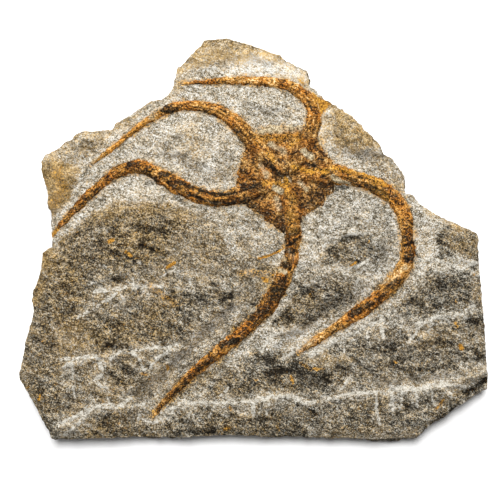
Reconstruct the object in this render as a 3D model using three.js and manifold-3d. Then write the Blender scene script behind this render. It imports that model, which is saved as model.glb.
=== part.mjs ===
// A fossil brittle star on its slab of sandstone: a small body disc and five long, whip-like arms,
// turned to rusty iron mineral, that stand a little proud of a grey stone face. Seven solids: the slab,
// the disc and the five arms.
//
// The slab lies on its back. +Z points out of the face with the fossil, +Y runs from the long straight
// edge of the slab to its peak, and the origin is on the back face, under the middle of the slab. All
// sizes are millimetres.
import * as THREE from "three";
import { mergeVertices } from "three/addons/utils/BufferGeometryUtils.js";
import Module from "manifold-3d";

const wasm = await Module();
wasm.setup();

// ---------- driving dimensions ----------
const HALF_WIDTH = 75; // the slab's overall size, which no bed of the stone sticks out past
const HALF_HEIGHT = 65;
const FACE_HEIGHT = 17.6; // back to the stone's natural face
const CLEANED_DEPTH = 1.7; // how far the ground that was cleaned round the fossil lies below that face
const CLEANED_NEAR = 2.2; // the cleaned ground is at full depth this close to the fossil,
const CLEANED_FAR = 8.5; // and has run out this far from it
const GRID_STEP = 3.4; // spacing of the face's height grid
const RIM_DROP = 1.2; // how much the face falls off at its broken rim,
const RIM_WIDTH = 2.8; // over this distance
const SEAT_GAP = 0.3; // clearance between the fossil's pieces and the stone they sit in

const ARM_CREST = 1.5; // an arm's crest above the ground at its widest
const ARM_BURIED = 0.9; // and how deep it is buried
const ARM_FULL_HALF_WIDTH = 2.6; // the half width those two belong to
const ARM_STEP = 3.3; // spacing of the sections along an arm
const DISC_CENTRE = [10.4, 19.6];
const DISC_DOME = 0.95; // the disc's height above the ground near its mouth,
const DISC_MARGIN = 0.35; // at its margin,
const DISC_BURIED = 1.3; // and how deep it is buried
const DISC_LIFT = 0.7; // how much the arms rise where they cross the disc
const MOUTH_RADIUS = 1.7;
const MOUTH_DEPTH = 0.6;

// The slab's broken rim, clockwise from the peak, as [x, y].
const RIM = [
  // peak
  [-15.5, 64.1], [-8.8, 65], [-1.1, 62.9], [2, 61.6], [8.6, 59.3], [10.1, 57.5], [16.8, 54.2], [17.8, 52.2],
  [17.8, 50.1], [20.4, 48.1], [21.9, 45.8],
  // right shoulder
  [24.5, 44.5], [31.6, 39.7], [37.2, 33.8], [40.3, 31], [41.6, 27.9], [44.4, 26.4], [48.5, 20.5], [48.4, 16.2],
  [49.2, 14.9], [51.2, 14.9], [54, 11.6], [59.7, 7.5], [67.8, 4.2], [71.2, 2.4], [71.8, 0.6],
  // right side and the cut-off lower right corner
  [72.4, -10.5], [73.7, -25.8], [74.4, -38.5], [75, -45.4], [74.4, -47], [64.8, -53.3], [59.7, -56.9],
  [54.6, -60.5], [52, -62.8],
  // long lower edge
  [37.2, -63.3], [29.6, -62.9], [13, -62.5], [-1.1, -62.3], [-10.7, -62], [-25.1, -62.7], [-36.3, -62.5],
  [-52.5, -63], [-63.5, -63.3], [-64.2, -63],
  // cut-off lower left corner and left side
  [-72.1, -48.2], [-74.7, -44.1], [-75, -42.4], [-73.9, -39], [-72.9, -32.4], [-70.6, -24.8], [-70.2, -22.2],
  [-70.6, -19.6], [-70.4, -16.6], [-68.8, -12], [-67.7, -7.9], [-67.5, -3.6], [-64.2, -1.9], [-64.8, 3.2],
  [-64.8, 9.3], [-65.9, 12.4], [-65.6, 15.2], [-67.3, 21.1], [-68, 23.6], [-67.3, 26.7],
  // chipped upper left edge
  [-65.8, 27.8], [-61.9, 30.1], [-58.4, 32.4], [-56.6, 34.3], [-54.8, 35.1], [-47.9, 34.9], [-45.9, 35.4],
  [-41.5, 39.2], [-38.7, 40.2], [-33.6, 43.9], [-29.8, 45.4], [-27.6, 46.7], [-25.2, 50.6], [-24.3, 55.1],
  [-20.6, 58.8], [-17.8, 61.3],
];
const LONGEST_RIM_STEP = 6; // longer stretches of the rim get points between,
const RIM_WANDER = 0.3; // which stray this far at most, because no broken edge is dead straight

// The beds that show in the slab's broken sides: the height of each level and how far it lies outside the rim.
const BEDS = [
  { z: 0, out: -1.6 },
  { z: 2.4, out: 0.5 },
  { z: 7.6, out: -0.7 },
  { z: 9.4, out: 0.6 },
  { z: 14.6, out: 0 },
];
const BED_WANDER = 0.8;
const BED_WANDER_LENGTH = 7;
const ABOVE_FACE = 24; // the sides are built up to here and then cut by the face
// A knob of a lower bed that sticks out under the lower edge.
const KNOB = { x: 43, reach: 6.5, out: 3.2, beds: [1, 2] };

// Old weathered surface left on the face, as outlines, and how far it stands above the ground between.
const WEATHERED = [
  {
    rise: 1.2, // the large lower left field
    outline: [
      [-66, -2.8], [-57.1, 2.9], [-49.1, 8.4], [-39.5, 11.2], [-28.3, 10.6], [-17.1, 8.4], [-10, 5], [-4.9, -1],
      [-2, -9], [-5, -18], [-11.3, -27], [-18.7, -34], [-28.3, -41.9], [-36.3, -47.6], [-39.5, -65], [-66, -65],
      [-77, -44], [-72, -18],
    ],
  },
  { rise: 1, outline: [[-27, 55.6], [-17.1, 56.6], [-4.3, 57.8], [12, 56.4], [8, 68], [-20, 68]] },
  { rise: 0.9, outline: [[-70, 27], [-61.2, 26.6], [-56.1, 23.4], [-56.8, 16.4], [-61.2, 10], [-68, 9]] },
  {
    rise: 0.9,
    outline: [[27, 45], [45, 30], [50, 22], [41, 26.8], [34.8, 27.8], [29.3, 30.5], [25.8, 35.6]],
  },
  {
    rise: 1,
    outline: [
      [56, -9.5], [66, -8], [78, -9], [78, -44], [62, -43.5], [40, -45], [30, -36], [44, -27.5], [57, -25],
      [52, -17],
    ],
  },
  {
    rise: 0.9,
    outline: [
      [15.5, -14], [24, -8.5], [33, -10.5], [38, -13], [31, -20], [22, -26], [15, -29.5], [8.5, -30],
      [9.5, -21],
    ],
  },
];
const WEATHERED_EDGE = 1.4;

// Low ledges: the ground rises at the line and slopes down again below it. Each runs left to right.
const LEDGES = [
  { rise: 1.3, run: 5, line: [[29.3, -0.6], [32.8, 0.7], [37, 1.7], [42.1, 1]] },
  { rise: 1.1, run: 6, line: [[-61.4, -37.5], [-50.4, -36.2], [-41.8, -34.9], [-33.1, -34], [-24.4, -33.3]] },
  { rise: 1.1, run: 6, line: [[-50.4, -16.1], [-44.3, -15.1], [-38.2, -14.3], [-28.3, -13.7]] },
  { rise: 1.3, run: 7, line: [[-62.2, -58.4], [-55.6, -55.9], [-49.4, -52.1], [-41.3, -52.1], [-34.5, -52.4]] },
  {
    rise: 1.5,
    run: 7,
    line: [
      [-23.9, -52.3], [-16.3, -51.3], [-7.6, -50.8], [3, -50.8], [9.1, -48.2], [13.7, -48.7], [20.4, -51.3],
      [27.5, -49], [38.7, -48], [60.1, -45.9], [67.8, -42.6], [73.5, -40.4],
    ],
  },
  {
    rise: 1.3,
    run: 7,
    line: [[19.3, -35.6], [27.5, -31.8], [34.6, -28.9], [46.4, -24.7], [56.6, -23.2], [70.4, -21.7]],
  },
];
const LEDGE_ONSET = 1.4;
const LEDGE_END = 5; // a ledge dies away over this length beyond its ends

// Hollows in the face: [x, y, radius, depth].
const HOLLOWS = [
  [-44.5, -33.4, 2.6, 0.8], [-43.3, -12.7, 2.2, 0.6], [-7.6, -17.6, 2.8, 0.6], [43.3, -33.4, 2.6, 0.9],
  [8, -39.5, 6, 1], [31, -41.5, 5.5, 0.8], [69, -47.5, 4.5, 1], [32, -2.2, 4.5, 0.9], [-64, -36, 3.4, 0.7],
];

// The arms' routes from mouth to tip, as [x, y, half width].
const ARMS = {
  arm_top: [
    [11.5, 21.4, 0.7], [13.2, 24.2, 1.5], [15.3, 27.6, 2.2], [18.9, 36.5, 2.4], [19.4, 41.3, 2.3],
    [18.3, 44.5, 2.3], [15.2, 47.6, 2.1], [11.7, 49.6, 1.9], [6.6, 50.9, 1.65], [-6, 51.6, 1.3],
    [-17.4, 50.9, 0.8], [-23.2, 50.6, 0.5],
  ],
  arm_upper_left: [
    [9.1, 21.2, 0.7], [7.2, 23.6, 1.5], [4.6, 26.8, 2.3], [-2, 34, 2.6], [-5.4, 37.8, 2.5], [-8.9, 40.5, 2.3],
    [-13, 42.5, 2.1], [-21.4, 43.6, 1.8], [-25.1, 43, 1.75], [-28, 42, 1.45], [-30.3, 40.6, 1.1],
    [-35.2, 37.9, 1.05], [-43.3, 31.4, 0.9], [-52.2, 24.8, 0.5],
  ],
  arm_left: [
    [8.5, 19.1, 0.7], [5.6, 18.2, 1.5], [2.2, 17.1, 2.3], [-5.5, 14.4, 2.7], [-9.6, 13.6, 2.65],
    [-14.7, 14, 2.6], [-19.9, 15.7, 2.5], [-27.9, 19.9, 2.4], [-32.1, 22.1, 2.4], [-36, 23.9, 2.6],
    [-40.2, 23.5, 1.95], [-44.3, 21.8, 1.8], [-51, 16.2, 1.55], [-58.1, 9.4, 1.25], [-62.8, 4, 0.7],
  ],
  arm_right: [
    [12.4, 19.8, 0.7], [15.2, 20.3, 1.5], [18.6, 21, 2.2], [26.8, 21.3, 2.75], [34.6, 19.5, 2.55],
    [42.6, 15.9, 2.8], [45.9, 12.9, 2.7], [47.9, 9.5, 2.5], [49.5, 1.3, 2.4], [49.3, -5.7, 2.6],
    [48.1, -8.7, 2.7], [43.5, -14.9, 2.5], [35.2, -21.7, 2.3], [26.6, -27.6, 1.65], [18.8, -32.7, 1.2],
    [14.4, -35.8, 0.5],
  ],
  arm_lower: [
    [10.6, 17.6, 0.7], [11.1, 14.8, 1.5], [11.8, 11.2, 2.3], [12.7, 2.9, 2.55], [11.8, -5.8, 2.5],
    [8.7, -13.7, 2.65], [3.9, -21.7, 2.6], [0.6, -25.4, 2.25], [-7, -32.1, 2], [-14.8, -38.4, 1.8],
    [-22.7, -45.4, 1.5], [-28.9, -52, 0.95], [-32, -56.2, 0.5],
  ],
};

// An arm's section: [across, up], where across 1 is the half width, up 1 the crest and up -1 the buried depth.
// A keel and two shoulders stand between shallow furrows.
const ARM_SECTION = [
  [0.7, -1], [-0.7, -1], [-1, 0.1], [-0.66, 0.88], [-0.33, 0.66], [0, 1], [0.33, 0.66], [0.66, 0.88], [1, 0.1],
];

// The section of the seat that an arm lies in, open to the face.
const SEAT_SECTION = [[0.7, -1], [-0.7, -1], [-1, 0.1], [-1, 1.6], [1, 1.6], [1, 0.1]];

// The disc's margin, counter-clockwise from the right-hand arm, as [x, y].
const DISC_OUTLINE = [
  [27.1, 19.6], [26.3, 24.2], [23.6, 28.1], [22.4, 31.1], [20, 36], [14.8, 37], [7.2, 37], [1.8, 36.3],
  [-1.7, 33.7], [-2.8, 30.1], [-3.4, 27.2], [-5.4, 24.2], [-5.7, 19], [-5.6, 14.5], [-2.5, 11.5], [0.8, 9.5],
  [4.7, 5.9], [8.6, 3.3], [11.5, 2], [14.9, 3.4], [15.5, 8.2], [21.6, 11.5], [24.9, 15.7],
];
const DISC_RINGS = [0.12, 0.34, 0.6, 0.86, 1];

const COLOURS = { stone: 0x9c9484, rust: 0xa0672f, disc: 0x9a7442 };

// ---------- small helpers ----------
// 0 below a, 1 above b, and a smooth step between.
const smooth = (a, b, value) => THREE.MathUtils.smoothstep(value, a, b);

// A fixed pseudo-random number from -1 to 1 for each whole-numbered cell.
function cellValue(i, j, seed) {
  let h = Math.imul(i, 374761393) ^ Math.imul(j, 668265263) ^ Math.imul(seed, 1442695041);
  h = Math.imul(h ^ (h >>> 13), 1274126177);
  return (((h ^ (h >>> 16)) >>> 0) / 4294967295) * 2 - 1;
}

// Smooth noise from -1 to 1 whose lumps are about `size` across.
function noise(x, y, size, seed) {
  const i = Math.floor(x / size);
  const j = Math.floor(y / size);
  const u = smooth(0, 1, x / size - i);
  const v = smooth(0, 1, y / size - j);
  const low = THREE.MathUtils.lerp(cellValue(i, j, seed), cellValue(i + 1, j, seed), u);
  const high = THREE.MathUtils.lerp(cellValue(i, j + 1, seed), cellValue(i + 1, j + 1, seed), u);
  return THREE.MathUtils.lerp(low, high, v);
}

// The distance from a point to the stretch between a and b, and how far along it the nearest point lies.
function toStretch(x, y, a, b) {
  const dx = b[0] - a[0];
  const dy = b[1] - a[1];
  const along = THREE.MathUtils.clamp(((x - a[0]) * dx + (y - a[1]) * dy) / (dx * dx + dy * dy), 0, 1);
  return { distance: Math.hypot(x - a[0] - along * dx, y - a[1] - along * dy), along };
}

// The distance from a point to a closed outline: positive inside, negative outside.
function depthInside(x, y, outline) {
  let nearest = Infinity;
  let inside = false;
  outline.forEach((a, i) => {
    const b = outline[(i + 1) % outline.length];
    nearest = Math.min(nearest, toStretch(x, y, a, b).distance);
    if (a[1] > y !== b[1] > y && x < ((b[0] - a[0]) * (y - a[1])) / (b[1] - a[1]) + a[0]) inside = !inside;
  });
  return inside ? nearest : -nearest;
}

// The distance from a point to the fossil's edge, negative on the fossil.
function distanceToFossil(x, y) {
  let nearest = -depthInside(x, y, DISC_OUTLINE);
  for (const route of Object.values(ARMS)) {
    for (let i = 1; i < route.length; i++) {
      const { distance, along } = toStretch(x, y, route[i - 1], route[i]);
      nearest = Math.min(nearest, distance - THREE.MathUtils.lerp(route[i - 1][2], route[i][2], along));
    }
  }
  return nearest;
}

// ---------- the stone's face ----------
// How much of the cleaning shows at a point: 1 by the fossil and 0 far from it.
const cleanedShare = (x, y) =>
  1 - smooth(CLEANED_NEAR, CLEANED_FAR, distanceToFossil(x, y) + 1.4 * noise(x, y, 8, 1));

// The height that one ledge adds at a point.
function ledgeHeight(x, y, { rise, run, line }) {
  const first = line[0][0];
  const last = line[line.length - 1][0];
  const at = THREE.MathUtils.clamp(x, first, last);
  const i = Math.max(1, line.findIndex((p) => p[0] >= at));
  const share = (at - line[i - 1][0]) / (line[i][0] - line[i - 1][0]);
  const below = THREE.MathUtils.lerp(line[i - 1][1], line[i][1], share) - y + 0.7 * noise(x, y, 4, 2);
  const end = 1 - smooth(0, LEDGE_END, Math.max(first - x, x - last));
  return rise * end * smooth(0, LEDGE_ONSET, below) * Math.exp(-Math.max(below, 0) / run);
}

// Height of the stone's face above the back.
function groundHeight(x, y) {
  const cleaned = cleanedShare(x, y);
  const rough = 1 - 0.7 * cleaned;
  let z = FACE_HEIGHT - CLEANED_DEPTH * cleaned;
  for (const { rise, outline } of WEATHERED) {
    const depth = depthInside(x, y, outline) + 0.9 * noise(x, y, 5, 3);
    z += rise * smooth(-WEATHERED_EDGE / 2, WEATHERED_EDGE, depth) * (1 - cleaned);
  }
  for (const ledge of LEDGES) z += ledgeHeight(x, y, ledge) * rough;
  for (const [hx, hy, radius, depth] of HOLLOWS) {
    z -= depth * rough * (1 - smooth(0.2, 1.1, Math.hypot(x - hx, y - hy) / radius));
  }
  z += rough * (0.5 * noise(x, y, 17, 4) + 0.35 * noise(x, y, 6.5, 5) + 0.2 * noise(x, y, 3.2, 6));
  return z - RIM_DROP * (1 - smooth(0, RIM_WIDTH, depthInside(x, y, RIM) + 0.6 * noise(x, y, 5, 7)));
}

// ---------- solids ----------
// A closed triangle list as a manifold solid.
function toSolid(points, triangles) {
  const geometry = new THREE.BufferGeometry();
  geometry.setAttribute("position", new THREE.Float32BufferAttribute(points.flat(), 3));
  geometry.setIndex(triangles.flat());
  const merged = mergeVertices(geometry);
  return new wasm.Manifold(
    new wasm.Mesh({
      numProp: 3,
      vertProperties: new Float32Array(merged.attributes.position.array),
      triVerts: new Uint32Array(merged.index.array),
    }),
  );
}

function toMesh(solid, name, colour, roughness) {
  const { vertProperties, triVerts } = solid.getMesh();
  const geometry = new THREE.BufferGeometry();
  geometry.setAttribute("position", new THREE.BufferAttribute(vertProperties, 3));
  geometry.setIndex(new THREE.BufferAttribute(triVerts, 1));
  geometry.computeVertexNormals();
  const material = new THREE.MeshStandardMaterial({ color: colour, roughness, metalness: 0 });
  const mesh = new THREE.Mesh(geometry, material);
  mesh.name = name;
  return mesh;
}

// Joins rings of equally many points, first to last, and closes each end with a fan about the ring's middle.
function loft(rings) {
  const count = rings[0].length;
  const points = rings.flat();
  const triangles = [];
  for (let ring = 1; ring < rings.length; ring++) {
    for (let i = 0; i < count; i++) {
      const next = (i + 1) % count;
      const low = (ring - 1) * count;
      const high = ring * count;
      triangles.push([low + i, low + next, high + next], [low + i, high + next, high + i]);
    }
  }
  const lastStart = (rings.length - 1) * count;
  for (const start of [0, lastStart]) {
    const ring = points.slice(start, start + count);
    const middle = points.push([0, 1, 2].map((axis) => ring.reduce((sum, p) => sum + p[axis], 0) / count)) - 1;
    for (let i = 0; i < count; i++) {
      const pair = [start + i, start + ((i + 1) % count)];
      triangles.push(start === 0 ? [pair[1], pair[0], middle] : [pair[0], pair[1], middle]);
    }
  }
  return toSolid(points, triangles);
}

// The rim, counter-clockwise, with points between where a stretch is long.
function denseRim() {
  const turned = [...RIM].reverse();
  return turned.flatMap((a, i) => {
    const b = turned[(i + 1) % turned.length];
    const pieces = Math.ceil(Math.hypot(b[0] - a[0], b[1] - a[1]) / LONGEST_RIM_STEP);
    return Array.from({ length: pieces }, (_, k) => {
      const stray = k === 0 ? 0 : RIM_WANDER;
      return [
        THREE.MathUtils.lerp(a[0], b[0], k / pieces) + stray * cellValue(i, k, 40),
        THREE.MathUtils.lerp(a[1], b[1], k / pieces) + stray * cellValue(i, k, 41),
      ];
    });
  });
}

// The slab's broken sides: the rim carried down through the beds.
function makeSides() {
  const rim = denseRim();
  const rings = BEDS.map(({ z, out }, bed) =>
    rim.map(([x, y], i) => {
      const before = rim[(i + rim.length - 1) % rim.length];
      const after = rim[(i + 1) % rim.length];
      const length = Math.hypot(after[0] - before[0], after[1] - before[1]);
      const normal = [(after[1] - before[1]) / length, (before[0] - after[0]) / length];
      const isTop = bed === BEDS.length - 1;
      const wander = isTop ? 0 : BED_WANDER * noise(x, y, BED_WANDER_LENGTH, 10 + bed);
      const isKnob = KNOB.beds.includes(bed) && normal[1] < -0.5;
      const knob = isKnob ? KNOB.out * (1 - smooth(0.5, 1, Math.abs(x - KNOB.x) / KNOB.reach)) : 0;
      const reach = out + wander + knob;
      return [
        THREE.MathUtils.clamp(x + reach * normal[0], -HALF_WIDTH, HALF_WIDTH),
        THREE.MathUtils.clamp(y + reach * normal[1], -HALF_HEIGHT, HALF_HEIGHT),
        z,
      ];
    }),
  );
  rings.push(rings[rings.length - 1].map(([x, y]) => [x, y, ABOVE_FACE]));
  return loft(rings);
}

// A block under the face's height grid, wider than the slab on all sides.
function makeFaceBlock() {
  const across = Math.ceil((2 * HALF_WIDTH) / GRID_STEP) + 2;
  const up = Math.ceil((2 * HALF_HEIGHT) / GRID_STEP) + 2;
  const points = [];
  for (const isTop of [false, true]) {
    for (let j = 0; j <= up; j++) {
      for (let i = 0; i <= across; i++) {
        const x = (i - across / 2) * GRID_STEP;
        const y = (j - up / 2) * GRID_STEP;
        points.push([x, y, isTop ? groundHeight(x, y) : -GRID_STEP]);
      }
    }
  }
  const row = across + 1;
  const layer = row * (up + 1);
  const triangles = [];
  for (let j = 0; j < up; j++) {
    for (let i = 0; i < across; i++) {
      const a = j * row + i;
      const quad = [a, a + 1, a + row + 1, a + row];
      const [p, q, r, s] = quad.map((k) => k + layer);
      if ((i + j) % 2) triangles.push([p, q, r], [p, r, s]);
      else triangles.push([p, q, s], [q, r, s]);
      triangles.push([quad[0], quad[2], quad[1]], [quad[0], quad[3], quad[2]]);
    }
  }
  const wall = (a, b) => triangles.push([a, b, b + layer], [a, b + layer, a + layer]);
  for (let i = 0; i < across; i++) {
    wall(i, i + 1);
    wall(up * row + i + 1, up * row + i);
  }
  for (let j = 0; j < up; j++) {
    wall(j * row + across, (j + 1) * row + across);
    wall((j + 1) * row, j * row);
  }
  return toSolid(points, triangles);
}

// One arm as a solid, or with `grow` above 0 the wider seat that it lies in.
function makeArm(route, seed, grow) {
  const section = grow > 0 ? SEAT_SECTION : ARM_SECTION;
  const curve = new THREE.CatmullRomCurve3(
    route.map(([x, y, half]) => new THREE.Vector3(x, y, half)),
    false,
    "centripetal",
  );
  const steps = Math.round(curve.getLength() / ARM_STEP);
  const rings = [];
  for (let k = 0; k <= steps; k++) {
    const { x, y, z: half } = curve.getPointAt(k / steps);
    const tangent = curve.getTangentAt(k / steps).setZ(0).normalize();
    const end = k === 0 ? -grow : k === steps ? grow : 0;
    const size = Math.pow(half / ARM_FULL_HALF_WIDTH, 0.6);
    const crest = ARM_CREST * size * (1 + 0.14 * cellValue(k, seed, 20)) + grow;
    const buried = ARM_BURIED * size + grow;
    const width = half * (1 + 0.05 * cellValue(k, seed, 21)) + grow;
    const lift = DISC_LIFT * smooth(-7, 1, depthInside(x, y, DISC_OUTLINE));
    const base = groundHeight(x, y) + lift;
    rings.push(
      section.map(([across, up]) => [
        x + end * tangent.x + across * width * tangent.y,
        y + end * tangent.y - across * width * tangent.x,
        base + (up > 0 ? up * crest : up * buried),
      ]),
    );
  }
  return loft(rings);
}

// The disc: a low dome over its margin's outline, with a pit at the mouth.
function makeDisc(grow) {
  const [cx, cy] = DISC_CENTRE;
  const base = groundHeight(cx, cy);
  const ring = (share, up) =>
    DISC_OUTLINE.map(([x, y]) => {
      const reach = Math.hypot(x - cx, y - cy);
      const scale = share * (1 + grow / reach);
      const px = cx + (x - cx) * scale;
      const py = cy + (y - cy) * scale;
      const top = THREE.MathUtils.lerp(DISC_DOME, DISC_MARGIN, share * share) + 0.12 * noise(px, py, 3.5, 30);
      const mouth = MOUTH_DEPTH * (1 - smooth(0.4, 1.6, (share * reach) / MOUTH_RADIUS));
      return [px, py, base + (up ? top - mouth + grow : -DISC_BURIED - grow)];
    });
  const tops = [...DISC_RINGS].reverse().map((share) => ring(share, true));
  const rings = [ring(0.94, false), ring(1, false).map(([x, y, z]) => [x, y, z + 0.5]), ...tops];
  return loft(rings);
}

// ---------- assembly ----------
const discSeat = makeDisc(SEAT_GAP);
const armSeats = Object.values(ARMS).map((route, i) => makeArm(route, i, SEAT_GAP));

let slab = makeFaceBlock().intersect(makeSides()).subtract(discSeat);
let disc = makeDisc(0);
for (const seat of armSeats) {
  slab = slab.subtract(seat);
  disc = disc.subtract(seat);
}

const fossilSlab = new THREE.Group();
fossilSlab.add(toMesh(slab, "stone_slab", COLOURS.stone, 0.95));
fossilSlab.add(toMesh(disc, "star_disc", COLOURS.disc, 0.85));
Object.entries(ARMS).forEach(([name, route], i) => {
  fossilSlab.add(toMesh(makeArm(route, i, 0), name, COLOURS.rust, 0.85));
});

export default fossilSlab;
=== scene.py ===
"""A fossil brittle star in low relief on the face of a broken sandstone slab.

The slab lies on its flat back. +Z points out of the face with the fossil, and +Y runs from the long straight
edge to the slab's peak. Shapes are given in millimetres and the finished meshes are in metres.
"""

from __future__ import annotations

import logging
import math
from collections.abc import Iterator
from contextlib import contextmanager
from dataclasses import dataclass, field
from enum import Enum

import bpy
import numpy as np
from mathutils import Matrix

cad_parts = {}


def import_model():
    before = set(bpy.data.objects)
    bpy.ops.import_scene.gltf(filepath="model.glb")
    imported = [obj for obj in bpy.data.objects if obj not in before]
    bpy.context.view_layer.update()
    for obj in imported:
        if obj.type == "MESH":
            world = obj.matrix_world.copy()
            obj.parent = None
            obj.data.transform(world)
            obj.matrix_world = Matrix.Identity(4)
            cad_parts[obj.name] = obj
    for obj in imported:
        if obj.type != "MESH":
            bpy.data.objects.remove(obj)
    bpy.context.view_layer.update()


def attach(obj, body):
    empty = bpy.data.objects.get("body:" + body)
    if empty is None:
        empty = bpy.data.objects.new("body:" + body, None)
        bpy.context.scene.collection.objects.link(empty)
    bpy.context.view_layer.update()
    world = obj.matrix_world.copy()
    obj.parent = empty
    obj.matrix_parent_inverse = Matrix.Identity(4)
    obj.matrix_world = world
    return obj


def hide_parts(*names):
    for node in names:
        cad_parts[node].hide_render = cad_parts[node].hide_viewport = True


log = logging.getLogger("brittle_star")

MM = 0.001
MERGE = 0.004  # vertices nearer than this many millimetres become one
TINY = 1e-9  # keeps a division from one by nothing
BODY = "root"

Array = np.ndarray
Point = tuple[float, float]
Span = tuple[float, float]  # where a change starts and where it ends
Stroke = tuple[float, ...]  # width, strength, and x and y of each point
Layers = tuple[tuple[float, float, int], ...]  # the height, the size and the seed of each layer of lumps
Object = bpy.types.Object
Material = bpy.types.Material
Tree = bpy.types.NodeTree
Socket = bpy.types.NodeSocket
Sockets = bpy.types.bpy_prop_collection
Value = Socket | float | tuple[float, ...]
Range = tuple[float, ...]  # low, high, and what they become where that isn't 0 and 1
Shares = tuple[float, ...]  # how much each number counts in a sum
Colour = tuple[float, float, float]
Ramp = tuple[tuple[float, Colour], ...]  # places from 0 to 1 and their linear colours

# How a stroke's edge strays, and the share of its width over which it is at full strength.
STROKE_FRAY: Layers = ((0.6, 1.3, 90), (0.4, 0.6, 91))
STROKE_CORE = 0.15


def path(*numbers: float) -> list[Point]:
    """The points of a line or an outline, from their x and y in turn."""
    return list(zip(numbers[::2], numbers[1::2]))


# ---------- the slab's shapes, in millimetres ----------
# The broken rim, clockwise from the peak.
RIM = path(
    -15.5, 64.1, -8.8, 65, -1.1, 62.9, 2, 61.6, 8.6, 59.3, 10.1, 57.5, 16.8, 54.2, 17.8, 52.2, 17.8, 50.1,
    20.4, 48.1, 21.9, 45.8, 24.5, 44.5, 31.6, 39.7, 37.2, 33.8, 40.3, 31, 41.6, 27.9, 44.4, 26.4, 48.5, 20.5,
    48.4, 16.2, 49.2, 14.9, 51.2, 14.9, 54, 11.6, 59.7, 7.5, 67.8, 4.2, 71.2, 2.4, 71.8, 0.6, 72.4, -10.5,
    73.7, -25.8, 74.4, -38.5, 75, -45.4, 74.4, -47, 64.8, -53.3, 59.7, -56.9, 54.6, -60.5, 52, -62.8,
    37.2, -63.3, 29.6, -62.9, 13, -62.5, -1.1, -62.3, -10.7, -62, -25.1, -62.7, -36.3, -62.5, -52.5, -63,
    -63.5, -63.3, -64.2, -63, -72.1, -48.2, -74.7, -44.1, -75, -42.4, -73.9, -39, -72.9, -32.4, -70.6, -24.8,
    -70.2, -22.2, -70.6, -19.6, -70.4, -16.6, -68.8, -12, -67.7, -7.9, -67.5, -3.6, -64.2, -1.9, -64.8, 3.2,
    -64.8, 9.3, -65.9, 12.4, -65.6, 15.2, -67.3, 21.1, -68, 23.6, -67.3, 26.7, -65.8, 27.8, -61.9, 30.1,
    -58.4, 32.4, -56.6, 34.3, -54.8, 35.1, -47.9, 34.9, -45.9, 35.4, -41.5, 39.2, -38.7, 40.2, -33.6, 43.9,
    -29.8, 45.4, -27.6, 46.7, -25.2, 50.6, -24.3, 55.1, -20.6, 58.8, -17.8, 61.3,
)

# The beds in the broken sides: the height of each level and how far it lies outside the rim.
BEDS: list[tuple[float, float]] = [(0, -1.6), (2.4, 0.5), (7.6, -0.7), (9.4, 0.6), (14.6, 0)]

# Ledges across the face: rise, run and the line of the crest from left to right.
LEDGES: list[tuple[float, float, list[Point]]] = [
    (1.3, 5, path(29.3, -0.6, 32.8, 0.7, 37, 1.7, 42.1, 1)),
    (1.1, 6, path(-61.4, -37.5, -50.4, -36.2, -41.8, -34.9, -33.1, -34, -24.4, -33.3)),
    (1.1, 6, path(-50.4, -16.1, -44.3, -15.1, -38.2, -14.3, -28.3, -13.7)),
    (1.3, 7, path(-62.2, -58.4, -55.6, -55.9, -49.4, -52.1, -41.3, -52.1, -34.5, -52.4)),
    (1.5, 7, path(
        -23.9, -52.3, -16.3, -51.3, -7.6, -50.8, 3, -50.8, 9.1, -48.2, 13.7, -48.7, 20.4, -51.3, 27.5, -49,
        38.7, -48, 60.1, -45.9, 67.8, -42.6, 73.5, -40.4,
    )),
    (1.3, 7, path(19.3, -35.6, 27.5, -31.8, 34.6, -28.9, 46.4, -24.7, 56.6, -23.2, 70.4, -21.7)),
]

# Hollows in the face: x, y, radius and depth.
HOLLOWS: list[tuple[float, float, float, float]] = [
    (-44.5, -33.4, 2.6, 0.8), (-43.3, -12.7, 2.2, 0.6), (-7.6, -17.6, 2.8, 0.6), (43.3, -33.4, 2.6, 0.9),
    (8, -39.5, 6, 1), (31, -41.5, 5.5, 0.8), (69, -47.5, 4.5, 1), (32, -2.2, 4.5, 0.9), (-64, -36, 3.4, 0.7),
]

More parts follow.
